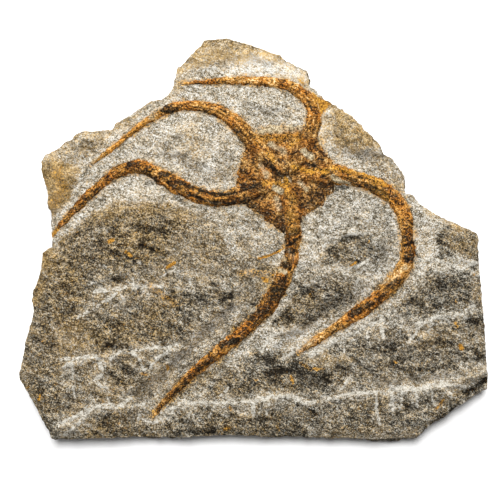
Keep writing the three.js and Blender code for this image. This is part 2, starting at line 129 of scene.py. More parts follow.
# The arms' routes from mouth to tip: x, y and half width.
ROUTES: dict[str, list[tuple[float, float, float]]] = {
    "arm_top": [
        (11.5, 21.4, 0.7), (13.2, 24.2, 1.5), (15.3, 27.6, 2.2), (18.9, 36.5, 2.4), (19.4, 41.3, 2.3),
        (18.3, 44.5, 2.3), (15.2, 47.6, 2.1), (11.7, 49.6, 1.9), (6.6, 50.9, 1.65), (-6, 51.6, 1.3),
        (-17.4, 50.9, 0.8), (-23.2, 50.6, 0.5),
    ],
    "arm_upper_left": [
        (9.1, 21.2, 0.7), (7.2, 23.6, 1.5), (4.6, 26.8, 2.3), (-2, 34, 2.6), (-5.4, 37.8, 2.5),
        (-8.9, 40.5, 2.3), (-13, 42.5, 2.1), (-21.4, 43.6, 1.8), (-25.1, 43, 1.75), (-28, 42, 1.45),
        (-30.3, 40.6, 1.1), (-35.2, 37.9, 1.05), (-43.3, 31.4, 0.9), (-52.2, 24.8, 0.5),
    ],
    "arm_left": [
        (8.5, 19.1, 0.7), (5.6, 18.2, 1.5), (2.2, 17.1, 2.3), (-5.5, 14.4, 2.7), (-9.6, 13.6, 2.65),
        (-14.7, 14, 2.6), (-19.9, 15.7, 2.5), (-27.9, 19.9, 2.4), (-32.1, 22.1, 2.4), (-36, 23.9, 2.6),
        (-40.2, 23.5, 1.95), (-44.3, 21.8, 1.8), (-51, 16.2, 1.55), (-58.1, 9.4, 1.25), (-62.8, 4, 0.7),
    ],
    "arm_right": [
        (12.4, 19.8, 0.7), (15.2, 20.3, 1.5), (18.6, 21, 2.2), (26.8, 21.3, 2.75), (34.6, 19.5, 2.55),
        (42.6, 15.9, 2.8), (45.9, 12.9, 2.7), (47.9, 9.5, 2.5), (49.5, 1.3, 2.4), (49.3, -5.7, 2.6),
        (48.1, -8.7, 2.7), (43.5, -14.9, 2.5), (35.2, -21.7, 2.3), (26.6, -27.6, 1.65), (18.8, -32.7, 1.2),
        (14.4, -35.8, 0.5),
    ],
    "arm_lower": [
        (10.6, 17.6, 0.7), (11.1, 14.8, 1.5), (11.8, 11.2, 2.3), (12.7, 2.9, 2.55), (11.8, -5.8, 2.5),
        (8.7, -13.7, 2.65), (3.9, -21.7, 2.6), (0.6, -25.4, 2.25), (-7, -32.1, 2), (-14.8, -38.4, 1.8),
        (-22.7, -45.4, 1.5), (-28.9, -52, 0.95), (-32, -56.2, 0.5),
    ],
}

# How many points of each route, from the first, lie at the disc.
ARM_ROOT_POINTS = 5

DISC_CENTRE: Point = (10.4, 19.6)
# The disc's margin, counter-clockwise.
DISC_OUTLINE = path(
    27.1, 19.6, 26.3, 24.2, 23.6, 28.1, 22.4, 31.1, 20, 36, 14.8, 37, 7.2, 37, 1.8, 36.3, -1.7, 33.7,
    -2.8, 30.1, -3.4, 27.2, -5.4, 24.2, -5.7, 19, -5.6, 14.5, -2.5, 11.5, 0.8, 9.5, 4.7, 5.9, 8.6, 3.3,
    11.5, 2, 14.9, 3.4, 15.5, 8.2, 21.6, 11.5, 24.9, 15.7,
)

# ---------- markings, in millimetres ----------
# Pale bruises that the preparator's chisel left.
BRUISES: list[Stroke] = [
    (1, 0.6, 56, -26.6, 60, -26), (1, 0.6, -54, -58, -51, -59.4), (1, 0.6, 64.4, -46, 67.6, -46.6),
    (1, 0.8, -50.7, -15.9, -45.2, -15.6, -39.2, -14.3, -34, -14.5, -28.9, -14.3),
    (1.1, 1.1, -42.7, -15.3, -46.6, -18.6), (0.9, 0.5, -47.6, -19, -51.3, -21.9, -56, -24.3),
    (0.7, 0.7, -42.2, -16.9, -41.4, -18.8), (0.7, 0.5, -34.5, -15.3, -35.6, -16.9),
    (0.62, 0.4, -33.4, -16.9, -29.9, -17.9), (0.7, 0.5, -67.3, -9.9, -65.4, -11.8),
    (0.94, 0.8, -61.3, -37.5, -54.9, -37.5, -50.4, -36.5), (0.7, 0.9, -60.6, -40.3, -57.4, -38),
    (0.78, 0.9, -57.7, -39.3, -57.4, -43.8),
    (0.94, 1.1, -49.4, -37.4, -48.8, -39, -48, -42.3, -50.4, -44.4, -48.8, -46.2, -47.2, -47),
    (0.78, 1.3, -45.7, -37.7, -42.2, -34.9),
    (0.78, 0.8, -37.6, -34.8, -33.1, -34, -26.9, -33.9, -24.3, -32.9), (0.78, 1.1, -38.5, -35.1, -36, -37.7),
    (0.78, 1.2, -33.1, -40.3, -30.5, -37.2, -26.9, -34.9), (0.62, 0.5, -26.4, -34.2, -24.8, -37.2),
    (1.2, 0.8, -61.6, -58.4, -55.9, -55.6, -50.4, -52.3, -45.2, -52.8, -41.1, -52),
    (1, 0.7, -60, -61.7, -55.9, -58.2, -51.9, -54), (0.78, 0.7, -41.1, -52, -39.6, -50),
    (0.94, 0.7, -38.6, -52.5, -34, -52.3), (0.78, 0.5, -50.8, -59.7, -47.8, -62.2),
    (0.62, 0.4, -42.7, -53.1, -42.4, -56.1), (0.94, 0.6, -35, -57.2, -32, -58.3, -28.9, -56.6),
    (1, 0.7, -29.4, -54.7, -24.3, -53.1),
    (0.86, 0.7, -23.8, -51.8, -16.8, -51.5, -11.6, -51.5, -6.5, -51.3, 2.1, -50.8),
    (0.7, 0.5, -12, -52.5, -14.1, -56.1), (0.7, 0.5, -4.4, -52, -4.9, -54.7),
    (0.78, 0.8, 0.2, -51.1, -0.2, -55.6),
    (1.2, 0.8, 1.5, -50.7, 6, -49.5, 12.6, -49.5, 16.1, -51.8, 19.7, -51.5),
    (0.94, 0.8, 23.2, -50.8, 28.4, -49, 33.5, -48.4, 39.1, -48.2),
    (0.78, 0.9, 39.1, -48.9, 39.3, -54, 40.4, -58.7), (1.5, 0.8, 43.7, -46.3, 44.5, -53.4),
    (1.2, 0.9, 44.2, -46.7, 51.9, -47.4, 56.8, -46.2, 63.1, -45.4), (0.78, 0.9, 51.9, -47.4, 52.4, -53.1),
    (0.7, 0.5, 62.6, -47, 63.1, -50), (1, 0.3, 65.5, -43.6, 69.3, -42.5, 73.8, -41.2),
    (0.62, 0.9, 27.9, -47.3, 30.9, -43.8), (0.62, 0.4, 32.5, -47.3, 33.5, -44.9),
    (1.1, 0.6, 2.4, -35.1, 6, -30, 9.5, -29.1), (1, 0.6, 10, -37.2, 14.6, -34.7),
    (1.4, 0.7, 18.4, -36.7, 25.3, -32.1, 31.4, -29.6, 36.6, -27, 41.6, -25),
    (0.7, 0.9, 36.6, -28.4, 36.6, -32.3), (0.7, 0.9, 40.6, -25, 41.4, -31.1),
    (0.7, 1, 49.8, -32.1, 52.4, -28.1, 54.4, -26),
    (1.1, 0.7, 52.4, -26.5, 58.4, -24.3, 64.1, -24.1, 67.1, -22.7, 70.3, -20.9),
    (1.1, 0.6, 52.4, -6.1, 58.4, -5.9, 63.1, -7.6, 66.1, -8.7, 71.2, -6.7),
    (0.78, 0.5, 56.8, -11.1, 58.4, -9.2), (0.94, 0.7, 25.8, -9.2, 33.5, -8.2, 36.6, -6.1),
    (0.78, 0.6, 33, -13.2, 35, -8.7), (0.78, 0.6, 29, 1.7, 32.8, 2.3, 37, 2.9),
    (0.6, 0.6, -52, -13.6, -47, -12), (0.6, 0.5, -44, -20.5, -39, -16.5, -36.4, -12),
    (0.6, 0.6, -31, -12.4, -27, -9.8, -22.6, -9.4), (0.6, 0.5, -38.6, -12, -37.2, -16.6),
    (0.6, 0.5, -24, -15, -18.6, -16.4), (0.5, 0.5, -21.4, -11.4, -19.4, -14.6),
    (0.6, 0.6, -36, -37.7, -35, -41, -33.4, -40.4), (0.6, 0.5, -62, -45, -58.6, -46.6),
    (0.6, 0.6, -56.6, -50.4, -57.6, -46.4), (0.6, 0.6, -46.8, -49.6, -44.8, -53.4),
    (0.5, 0.5, -36.6, -54.8, -37.2, -59.6), (0.6, 0.6, -27, -58, -25.6, -53.4),
    (0.5, 0.6, -19.8, -52, -20.6, -57), (0.6, 0.6, -10.4, -49.4, -7.6, -46.4),
    (0.6, 0.6, 5.2, -50, 4.2, -55.4), (0.5, 0.5, 9.6, -50, 8.8, -54), (0.5, 0.6, 13.6, -50, 13, -55.6),
    (0.6, 0.6, 27.4, -49.4, 26.6, -54.4), (0.5, 0.5, 32, -48.6, 34.6, -53.2),
    (0.6, 0.8, 47.8, -47, 47, -53.6), (0.6, 0.6, 56.6, -46.4, 57.4, -51.6), (0.5, 0.6, 60, -45.8, 61.4, -41),
    (0.6, 0.5, 46.4, -30, 47.4, -25.6, 45.2, -21.8), (0.6, 0.6, 57, -24.4, 56, -29),
    (0.5, 0.5, 62, -24.2, 63.4, -28.6), (0.6, 0.5, 22.6, -33.4, 21.4, -38.6),
    (0.6, 0.5, 29.4, -30.6, 29, -35.6), (0.5, 0.5, -6.4, -38.6, -3.6, -43.4),
    (0.8, 0.8, 61.4, -24.6, 64.6, -23.8), (0.9, 0.5, -48.6, -7.6, -47, -8.2),
    (0.9, 0.5, -36.6, -6.6, -35.4, -7.4), (0.9, 0.5, -34.4, -9.2, -33, -9.8),
    (0.9, 0.5, -9.8, -55.2, -8.4, -56), (0.8, 0.6, 13.8, -29, 15.4, -29.2),
]
# Dirt, and painted shade in hollows, under ledges and beside the fossil's arms.
DIRT_AND_PAINTED_SHADE: list[Stroke] = [
    (1.5, 0.7, 28.6, 0.4, 31.6, 1, 37, 1.2), (2.2, 0.5, 24.5, -4.1, 26.4, -2.8),
    (1.6, 0.7, 37, -2.8, 37.6, -4.1), (0.8, 0.7, 28.7, -8.6, 31.9, -7.5),
    (0.9, 1.3, -36, -1.7, -34, -2, -32, -2.8), (1.3, 0.9, -44.4, -3.6, -42.8, -4.7),
    (2.2, 0.65, -37.2, 4.9, -33.4, 3.7), (1.2, 0.6, -44, -12.7, -43.3, -12.7),
    (2, 0.7, -46.2, -33.2, -44.3, -33.2), (2, 0.5, -9.4, -17.9, -7.2, -17.9),
    (1.8, 0.4, -14.4, -57, -12, -57.6), (1.6, 0.4, -68.9, -38.3, -67.6, -39.6),
    (2.6, 0.4, -48.1, -56.6, -46.5, -58.5), (1.2, 0.6, -18.7, -61.4, -13.2, -60.7),
    (4.2, 0.5, 16.2, -41.9, 21.6, -44.4), (1.8, 0.6, 27.1, -40.3, 30.9, -41.2),
    (2, 0.7, 42.8, -33.9, 44, -34.2), (2.4, 0.5, 3.7, -37.1, 6, -37.7), (1.4, 0.9, 41.5, -28.9, 42.8, -29.9),
    (1.2, 1.4, 67.8, -48.2, 70.6, -47.4), (1.2, 1.4, 72.2, -45.6, 73.6, -44.6),
    (2.2, 0.4, 46.4, -50, 48, -51), (1.6, 0.4, 13.6, -52.1, 18.8, -54), (1.4, 0.4, -6.5, -22.7, -8.8, -25.9),
    (1.5, 0.4, 6.3, -41.9, 7.9, -44.7), (2.5, 0.35, 57.2, -14, 62.9, -13.4),
    (2, 0.35, 63.6, -31, 69.3, -30.3), (1.6, 0.35, -33.1, 3.6, -26.7, 2.9),
    (3.4, 0.3, -16.6, -17, -12, -20.6), (1.8, 0.3, -33.1, -26.8, -24.8, -27.5),
    (0.6, 1.5, 7.6, -3.1, 9.2, -2.1, 10.8, -0.4), (1.6, 0.9, -9, -17.2, -7.4, -17.6),
    (1.1, 0.8, -38.4, -15.8, -36.6, -15.6), (1.2, 0.9, -44.4, -12.2, -43, -13.2),
    (2, 0.8, 4.6, -42.2, 7.4, -42), (1.8, 0.7, 12.6, -40, 15.2, -42), (1.8, 0.5, 15.4, -42.4, 24, -43),
    (1.6, 1, 58.8, -32, 63, -33.2), (0.9, 0.6, 23.6, -5, 24.8, -6.6), (1.4, 0.7, 10, -17, 12.6, -18.4),
    (1.6, 0.5, 8.4, -23.4, 11.4, -24.6), (1.4, 0.9, -41.8, -33.6, -39.4, -34.6),
    (1.3, 0.8, 50.4, -30.4, 52, -31.2), (1.6, 0.9, -17, -47.6, -14.6, -47),
    (1.5, 0.9, 63.4, -9.4, 67, -10.6, 70.4, -9), (1.4, 1.2, 8.6, -41.6, 11.6, -41.4),
    (1.2, 0.9, 16.3, 7, 17, 9), (1.6, 0.9, 53, -41, 57, -41.4), (1.5, 0.8, 61, -39.6, 64.4, -40.2),
    (1.6, 1, 50.6, -19.4, 53.6, -20.4), (1.2, 0.9, -25, 13.8, -22.6, 12.6), (1.4, 0.8, 7, -26, 8.4, -28),
    (1.4, 0.8, 18.4, -11.6, 20.6, -12), (1.5, 0.8, -55, 21, -53.4, 22), (1.2, 0.9, -34, 18.2, -30.6, 18.6),
    (1.4, 0.8, 24.6, -35.6, 27, -36), (1.4, 0.9, 37, -4, 38.8, -5.6), (1.4, 0.8, -13, -44.8, -11, -44),
    (1.3, 0.8, 34.6, -46.8, 37.4, -46.6), (1.6, 0.9, 70.6, -34.6, 72.6, -37),
    (1.2, 1.3, 24.8, 16.8, 30, 17.3), (0.9, 1.3, 52.3, -4.4, 52.9, -6.2), (0.8, 1, 53.1, -0.8, 53.3, -2),
    (0.9, 1, 52.2, -0.6, 52.6, -1.8), (1, 0.8, 33, -6.6, 35, -7.4), (1.4, 0.9, 10.6, -15.2, 13, -15.4),
    (1.4, 1, 15.4, -15.4, 18, -16), (1.4, 0.9, 46.6, -30, 49, -30.6), (1.2, 0.8, -29, -38.4, -27.4, -37.4),
    (1.2, 0.9, -13, -14, -11.4, -14.6), (1.7, 1.3, -9.8, -18.6, -7.2, -17.8),
    (1.2, 0.8, -33, -49, -31, -49.4), (1.2, 0.7, 0.6, -33.6, 2.4, -34.2),
    (1.3, 1.2, 42.8, -33.4, 43.9, -34.4), (1.1, 0.9, 50, -23, 51.6, -23.6), (1.2, 0.7, 68.4, -25.6, 72, -26),
    (1, 0.9, 57.6, -20.4, 59, -21.2), (1.2, 0.8, 42, -36.6, 45, -38, 48, -38.2),
    (1.3, 0.9, 66.4, -11.8, 69, -12.2), (1.2, 0.9, -37.4, -16.6, -35.8, -16.4),
    (1.1, 0.8, 58.6, -5, 60.2, -5.2), (1.2, 0.8, 25.6, -51.6, 27.4, -51.4),
    (1.2, 0.8, -27.8, -56.4, -26.2, -56.8), (1.1, 0.8, -20.8, -50.4, -19.2, -50.6),
    (0.9, 1.1, 8.2, -0.4, 9.6, -1.4), (2, 0.35, -57, 32, -50, 30.6), (1.2, 0.8, -50.6, 14, -47.6, 13.2),
    (0.8, 0.8, 55, -60, 64.4, -53.3),
]
# Rust specks, veins and stains in the stone.
STAINS: list[Stroke] = [
    (0.9, 1.3, -45.9, -0.1, -44.8, 0.4), (0.6, 1.2, -40.8, -3.3, -39, -4.7),
    (0.8, 1.4, -27.5, -8.4, -26, -7.5, -25.2, -6.8), (0.4, 0.8, -67.4, -31.7, -67.3, -32.1),
    (0.8, 0.8, -27.5, -39.6, -27.3, -40.9), (0.6, 0.7, -33.4, -43.8, -32.9, -44),
    (0.5, 0.9, -68.4, -50.5, -67.9, -48.9), (0.5, 0.6, -72.1, -47, -71.9, -46.3),
    (0.9, 0.5, -7.6, -52.9, -7.2, -53.7), (0.8, 0.7, -9.1, -60.1, -7.5, -59.5),
    (0.6, 0.6, -2.7, -44.1, -2.4, -44.3), (0.5, 0.6, -28.9, -18.3, -28.7, -18.5),
    (0.6, 0.6, 0.5, -44.4, 1.2, -44.4), (0.7, 0.8, 12, -43.1, 12.8, -45.4),
    (0.6, 0.7, 19.7, -40.6, 20.4, -41.2), (0.9, 1.1, 65.8, -33.1, 66.4, -34.2),
    (0.6, 0.8, 64.3, -26, 64.9, -27.3), (0.6, 0.7, 70.4, -10.5, 70.6, -10.8),
    (0.6, 0.5, 64.5, -19.1, 64.7, -19.6), (0.6, 0.7, 45, -38.3, 45.5, -38.7),
    (0.5, 1, 30.9, -7.9, 31.9, -7.4, 32.5, -6.9), (0.5, 0.7, 36.5, -0.6, 37, 0.2),
    (0.5, 0.6, 7.9, -27, 8.1, -27.1), (0.6, 0.5, 18, -16.9, 18.3, -17.4),
    (0.55, 1, 1.8, -5.5, 4.7, -4.7, 7.5, -3.6, 9.8, -2.2, 11.7, -0.9),
    (2, 0.4, 4.7, -12.4, 6.6, -12.4, 8.2, -11.1), (1.1, 0.85, 3, -11.8, 4.4, -12.8),
    (1, 0.9, 6.4, -11, 7.4, -12.4), (1, 0.35, -0.4, -9.2, 2.8, -9.7, 6, -10.2),
    (0.9, 0.35, 7.6, -59.1, 8.2, -60.4), (0.8, 0.6, 58.4, -53.4, 59.7, -52.1, 60.6, -50.6),
    (0.6, 0.6, 61, -20.6, 61.8, -21), (2.4, 1.1, 20.7, 41.3, 22.6, 43.3, 23.6, 44.9),
    (1.6, 1, 19.1, 46.8, 20.7, 44.9, 21.6, 42.6), (0.9, 0.6, 14.9, 51.6, 16.2, 50.6),
    (1.2, 0.5, 20.6, 40, 20.8, 35.6), (2.2, 0.36, -4, -10, 3, -10.6), (1.8, 0.35, -33, -14, -25, -20),
    (0.9, 0.36, 14.8, -38.8, 18.4, -41, 22.6, -40.6), (0.8, 0.4, 32.8, 36.2, 34.8, 34.6),
    (0.8, 0.6, -61.2, 23.7, -61.9, 22.5), (0.8, 0.5, -34, -42.5, -35.6, -42.2),
    (1.1, 0.9, -62.4, 4.6, -64.6, 1.6), (3.4, 0.4, -63, 22, -60.6, 17, -64, 12),
    (1.6, 1.2, 21, 45.4, 22.4, 42.6),
]
# Darker (below 0) and brighter (above 0) places in the fossil's mineral.
TONES: list[Stroke] = [
    # The right arm: the dark bend, and brown along its lower run.
    (3, -1.6, 50, 1, 49.6, -5.4), (1.1, -2.6, 48.4, -1.4, 51.2, -0.6), (1.4, -3, 49.4, -5.9, 52.2, -5.5),
    (1.8, -1.3, 46.6, -12.2, 42.8, -15.2), (1.5, -1.7, 42.4, -16.6, 38.6, -18.8),
    (1.9, -1.9, 38, -19.9, 34.6, -21.2, 31.6, -23.2), (1.4, -0.8, 31, -24.4, 27, -27.2),
    (1.4, 0.3, 30.4, -22.6, 27.6, -25.4), (3, 0.2, 22, -30.5, 15.5, -35),
    (1.5, -1.6, 34, 18, 38, 17.4, 43, 14.6), (1.3, -1.6, 40, -16.4, 37.4, -17.8),
    (1.5, -0.6, 41, -19.4, 38, -22), (2.8, 0.9, 49.4, -7.8, 44.8, -12), (2.4, -0.7, 49, 9, 49.8, 2),
    (1, -1.6, 45.6, 12.6, 47, 11), (1.1, -1.5, 41.4, 17, 43, 16.2),
    # The lower arm: the break across it, and the dark stretch below.
    (0.8, -2.6, 14.9, 1.4, 11.6, -0.8, 9.3, -2.4), (1.3, -1.9, 14.6, 3.4, 12.6, 2.2),
    (2.2, -0.9, 9.8, 3.6, 10.6, 0.4), (1.3, -2, 10.2, -2.6, 12.6, -3.4), (1.5, -1.9, 9, -7.2, 11.4, -8),
    (2.4, -2.2, 9.8, -12.2, 7.8, -14.6), (4, -2, 8.4, -14.4, 5.2, -19.4), (3.6, -1.7, 4.6, -20.4, 0.6, -24.6),
    (1.6, -1, -1.6, -26.2, -3.8, -28.8), (1.8, -3, -5, -31.6, -10, -33.4),
    (1.6, -1.6, -13, -37.4, -17.6, -41), (2, -1.3, -18.6, -42, -30, -53.4), (3, -0.5, -11, -35.6, -16, -39.6),
    (3.6, -0.5, -1, -26, -8, -32), (1, -1.3, 11.4, 11.6, 12.6, 10.2),
    # The left arm: painted shade in the furrows between its ridges, and dark knots along it.
    (0.8, -2.8, -20.4, 17.8, -14, 15.4, -9, 15.1, -4.3, 15.9, 2.2, 18.4),
    (0.7, -2.5, -20.6, 15, -14.4, 12.6, -8, 12, -2.6, 13), (5, -0.3, -20, 16, -8, 13.8, 0, 15.5),
    (1.7, -1.9, -3.4, 17.4, 2.4, 17.5), (1.3, -2.1, -24.6, 19.4, -19.4, 17),
    (1.3, -2.3, -30, 21.4, -27.4, 21.2), (1.3, -2, -27, 18.8, -25.4, 17.8), (3, -0.7, -19, 15.6, -26, 20),
    (1.5, -1.5, -39.6, 25, -35.8, 24.4), (2.4, -0.7, -33.4, 22.6, -37, 23.8),
    (1.3, -1.6, -37.8, 24.8, -40, 24), (1.4, -1.8, -31, 19.6, -33.4, 20.6), (4, -1, -44, 21.4, -58, 9.4),
    (3, -0.9, -58, 9.4, -63, 4),
    # The upper left arm: painted shade on its under side, the dark knot and the bright whip.
    (1.8, -1.5, -28.4, 42.6, -24.6, 42.2), (1.2, -0.8, -20, 41.6, -13.4, 40.8, -7.6, 37),
    (1.5, -0.3, -7.6, 37.6, -1.8, 31.4), (2.6, 0.25, -31, 40.6, -46, 29.4), (0.7, 0.9, 0.2, 34.4, 5.4, 28.6),
    # The top arm.
    (2.4, 0.6, 6.5, 51.5, -8, 51.9), (2.6, 0.45, 19, 38, 18.8, 43.6, 12, 49.6),
    (1.8, -0.6, -13, 50.6, -18.5, 50.4), (1.2, -0.3, 17.4, 33.8, 18.6, 31), (1.6, -0.6, 17.4, 45, 20, 41.6),
    # The disc: tan webs above, dark webs below, furrows that run to the mouth, and a painted shadow under
    # the right arm's root.
    (6, -0.45, 2.4, 33.4, 15, 34.4), (4, -0.3, -3.6, 20, -2, 28), (2.6, -1.6, 16.4, 11.6, 20, 10.8),
    (3.4, -1.2, 17.4, 13, 24, 17.4), (1.6, -2, 21.8, 18.2, 26.8, 16.6), (4.4, -1.4, 3.2, 9.2, 8.6, 4.6),
    (2, -1.5, -4.4, 13, 1.6, 10.8), (1.1, -1.8, 3.6, 25.8, 5.4, 24.6), (1.1, -2.2, 5.4, 24.2, 9.4, 20.6),
    (0.9, -2.1, 6.4, 22, 11.6, 20.2), (0.7, -2, 9.6, 26, 10.2, 24.6),
    (0.8, -2.4, 12.8, 24.3, 14.4, 24.2, 16.6, 25, 19.6, 24), (0.55, -2, 20.6, 23, 24.4, 22.6),
    (0.6, -2, 21.4, 20.6, 24.4, 21.6), (0.55, -1.7, 19.4, 30.4, 23.2, 27.4),
    (0.5, -1.7, 18.4, 28.6, 22.2, 26), (0.9, -1.6, 11, 27.6, 14, 28.8), (0.9, -1.7, -2.6, 14, 0.8, 13.4),
    (1.6, -0.6, 12.4, 15.6, 12.4, 6), (0.9, -1.7, 17, 22.7, 18.8, 22.7),
]
# Yellow, limonite-rich places in the mineral.
YELLOWS: list[Stroke] = [
    (1.4, 0.9, 25.5, 23.4, 34, 22.4, 42, 18.4), (1.5, 0.9, 3.8, 18.6, 9.4, 18.4),
    (1.5, 1, 10.6, 19.4, 10.9, 15), (1.4, 0.9, 12.4, 24.2, 18, 22.2, 23.6, 22.4),
    (2.6, 0.35, 12, 14.6, 12.6, 9, 12.8, 4), (3, 0.4, 1.5, 33, 14, 33.6), (1.2, 1, 4.8, 28.4, 6.4, 25.8),
    (1, 0.8, 11.6, 30.6, 14.6, 32.6), (2.2, 0.9, 20.2, 45.6, 22.6, 42.4), (2.6, 0.3, -32, 39.8, -50, 26.4),
    (2, 0.25, 36, 21, 47, 9),
]
# Sandy, bleached places: the quartz by the mouth, gaps in the crust and a crack by the right arm.
PALES: list[Stroke] = [
    (1.5, 1.4, 7, 17.2, 8.6, 16), (1.9, 0.5, 7.4, 13.6, 8.4, 10.6), (1.6, 0.5, 2.4, 24.6, 4.2, 21),
    (1.6, 0.9, 15.8, 28.8, 18.6, 27), (1.5, 0.6, 14.8, 18.8, 16.8, 16.8), (1.7, 0.6, 5.6, 31, 9.8, 28.6),
    (1.1, 1.4, 25.4, 20.8, 27.4, 19.3), (0.6, 1.2, 27.4, 19.5, 31, 18.4), (2.2, 0.32, 11.4, -3.8, 12.4, -6.4),
    (1.3, 1, 8, -9, 9.8, -9.8), (2.6, 0.24, 49, -8, 44, -12.6), (1.4, 0.4, 43, -12.4, 39, -15),
    (3, 0.7, 1.5, 36.2, 14, 36.8), (1.2, 0.6, -33, 39.6, -31, 40.4), (1.6, 0.5, 14, -35, 20, -31.6),
    (1.1, 0.6, -50, 27, -53, 24), (1.3, 0.6, 9, -4.2, 10, -6), (1.2, 0.6, 21, 33, 22.6, 30),
]


# ---------- fields over the slab's plane ----------
def smooth(low: float, high: float, value: Array) -> Array:
    """0 below low, 1 above high, and a smooth step between."""
    share = np.clip((value - low) / (high - low), 0, 1)
    return share * share * (3 - 2 * share)


def cell_value(i: Array, j: Array, seed: int) -> Array:
    """A fixed pseudo-random number from -1 to 1 for each whole-numbered cell."""
    mixed = (i.astype(np.int64) & 0xFFFFFFFF).astype(np.uint32) * np.uint32(374761393)
    mixed ^= (j.astype(np.int64) & 0xFFFFFFFF).astype(np.uint32) * np.uint32(668265263)
    mixed ^= np.uint32((seed * 1442695041) & 0xFFFFFFFF)
    mixed = (mixed ^ (mixed >> np.uint32(13))) * np.uint32(1274126177)
    return (mixed ^ (mixed >> np.uint32(16))) / 2147483648.0 - 1


def lumps(x: Array, y: Array, size: float, seed: int) -> Array:
    """Smooth noise from -1 to 1 whose lumps are about size across.

    Args:
        x, y: where to read it, in millimetres.
        size: the lumps' width in millimetres.
        seed: which pattern to read.
    """
    i, j = np.floor(x / size), np.floor(y / size)
    u, v = smooth(0, 1, x / size - i), smooth(0, 1, y / size - j)
    low = cell_value(i, j, seed) * (1 - u) + cell_value(i + 1, j, seed) * u
    high = cell_value(i, j + 1, seed) * (1 - u) + cell_value(i + 1, j + 1, seed) * u
    return low * (1 - v) + high * v


def layered(x: Array, y: Array, layers: Layers, seed: int = 0) -> Array:
    """Layers of lumps together, with seed added to each one's own."""
    return sum(height * lumps(x, y, size, seed + own) for height, size, own in layers)


def to_stretch(x: Array, y: Array, a: Point, b: Point) -> tuple[Array, Array]:
    """Distance to the stretch from a to b, and the share of it at which the nearest point lies."""
    dx, dy = b[0] - a[0], b[1] - a[1]
    along = np.clip(((x - a[0]) * dx + (y - a[1]) * dy) / max(dx * dx + dy * dy, TINY), 0, 1)
    return np.hypot(x - a[0] - along * dx, y - a[1] - along * dy), along


def distance_to_arms(x: Array, y: Array, points: int | None = None) -> Array:
    """Distance to the nearest arm's edge, negative on an arm, by all or the first points of each route."""
    nearest = np.full(x.shape, np.inf)
    for route in ROUTES.values():
        for a, b in zip(route, route[1:points]):
            distance, along = to_stretch(x, y, a[:2], b[:2])
            nearest = np.minimum(nearest, distance - a[2] - (b[2] - a[2]) * along)
    return nearest


def depth_inside(x: Array, y: Array, outline: list[Point]) -> Array:
    """Distance to a closed outline: positive inside, negative outside."""
    nearest = np.full(x.shape, np.inf)
    inside = np.zeros(x.shape, bool)
    for a, b in zip(outline, outline[1:] + outline[:1]):
        nearest = np.minimum(nearest, to_stretch(x, y, a, b)[0])
        if a[1] != b[1]:
            crosses = (a[1] > y) != (b[1] > y)
            inside ^= crosses & (x < (b[0] - a[0]) * (y - a[1]) / (b[1] - a[1]) + a[0])
    return np.where(inside, nearest, -nearest)


def distance_to_fossil(x: Array, y: Array) -> Array:
    """Distance to the fossil's edge, negative on the fossil."""
    return np.minimum(-depth_inside(x, y, DISC_OUTLINE), distance_to_arms(x, y))


def drawn(x: Array, y: Array, strokes: list[Stroke], fray: float) -> Array:
    """How strongly a set of strokes marks each point.

    Args:
        x, y: where to read it, in millimetres.
        strokes: the strokes.
        fray: how far a stroke's edge strays.
    Returns:
        The strongest stroke's signed strength at each point.
    """
    mark = np.zeros(x.shape)
    stray = fray * layered(x, y, STROKE_FRAY)
    for width, strength, *numbers in strokes:
        line = path(*numbers)
        nearest = np.full(x.shape, np.inf)
        for a, b in zip(line, line[1:]):
            nearest = np.minimum(nearest, to_stretch(x, y, a, b)[0])
        here = strength * (1 - smooth(STROKE_CORE, 1, (nearest + stray) / width))
        mark = np.where(np.abs(here) > np.abs(mark), here, mark)
    return mark


@dataclass(frozen=True)
class Patch:
    """Old weathered surface left on the face, by its height over the ground between."""

    rise: float
    outline: list[Point]


PATCHES: list[Patch] = [
    Patch(1.2, path(
        -66, -2.8, -57.1, 2.9, -49.1, 8.4, -39.5, 11.2, -28.3, 10.6, -17.1, 8.4, -10, 5, -4.9, -1, -2, -9,
        -5, -18, -11.3, -27, -18.7, -34, -28.3, -41.9, -36.3, -47.6, -39.5, -65, -66, -65, -77, -44, -72, -18,
    )),
    Patch(0.3, path(-27, 55.6, -17.1, 56.6, -4.3, 57.8, 12, 56.4, 8, 68, -20, 68)),
    Patch(0.9, path(-70, 27, -61.2, 26.6, -56.1, 23.4, -56.8, 16.4, -61.2, 10, -68, 9)),
    Patch(0.9, path(27, 45, 45, 30, 50, 22, 41, 26.8, 34.8, 27.8, 29.3, 30.5, 25.8, 35.6)),
    Patch(1, path(
        56, -9.5, 66, -8, 78, -9, 78, -44, 62, -43.5, 40, -45, 30, -36, 44, -27.5, 57, -25, 52, -17,
    )),
    Patch(0.9, path(
        15.5, -14, 24, -8.5, 33, -10.5, 38, -13, 31, -20, 22, -26, 15, -29.5, 8.5, -30, 9.5, -21,
    )),
]


@dataclass(frozen=True)
class Skin:
    """A stretch of the face with a colour of its own.

    light is 0 on old dark ground and 1 where freshly cleaned, and above 1 for the palest ground. warmth is 0
    for grey and 1 for tan. soft is how gradually the skin ends, in millimetres.
    """

    light: float
    warmth: float
    soft: float
    outline: list[Point]


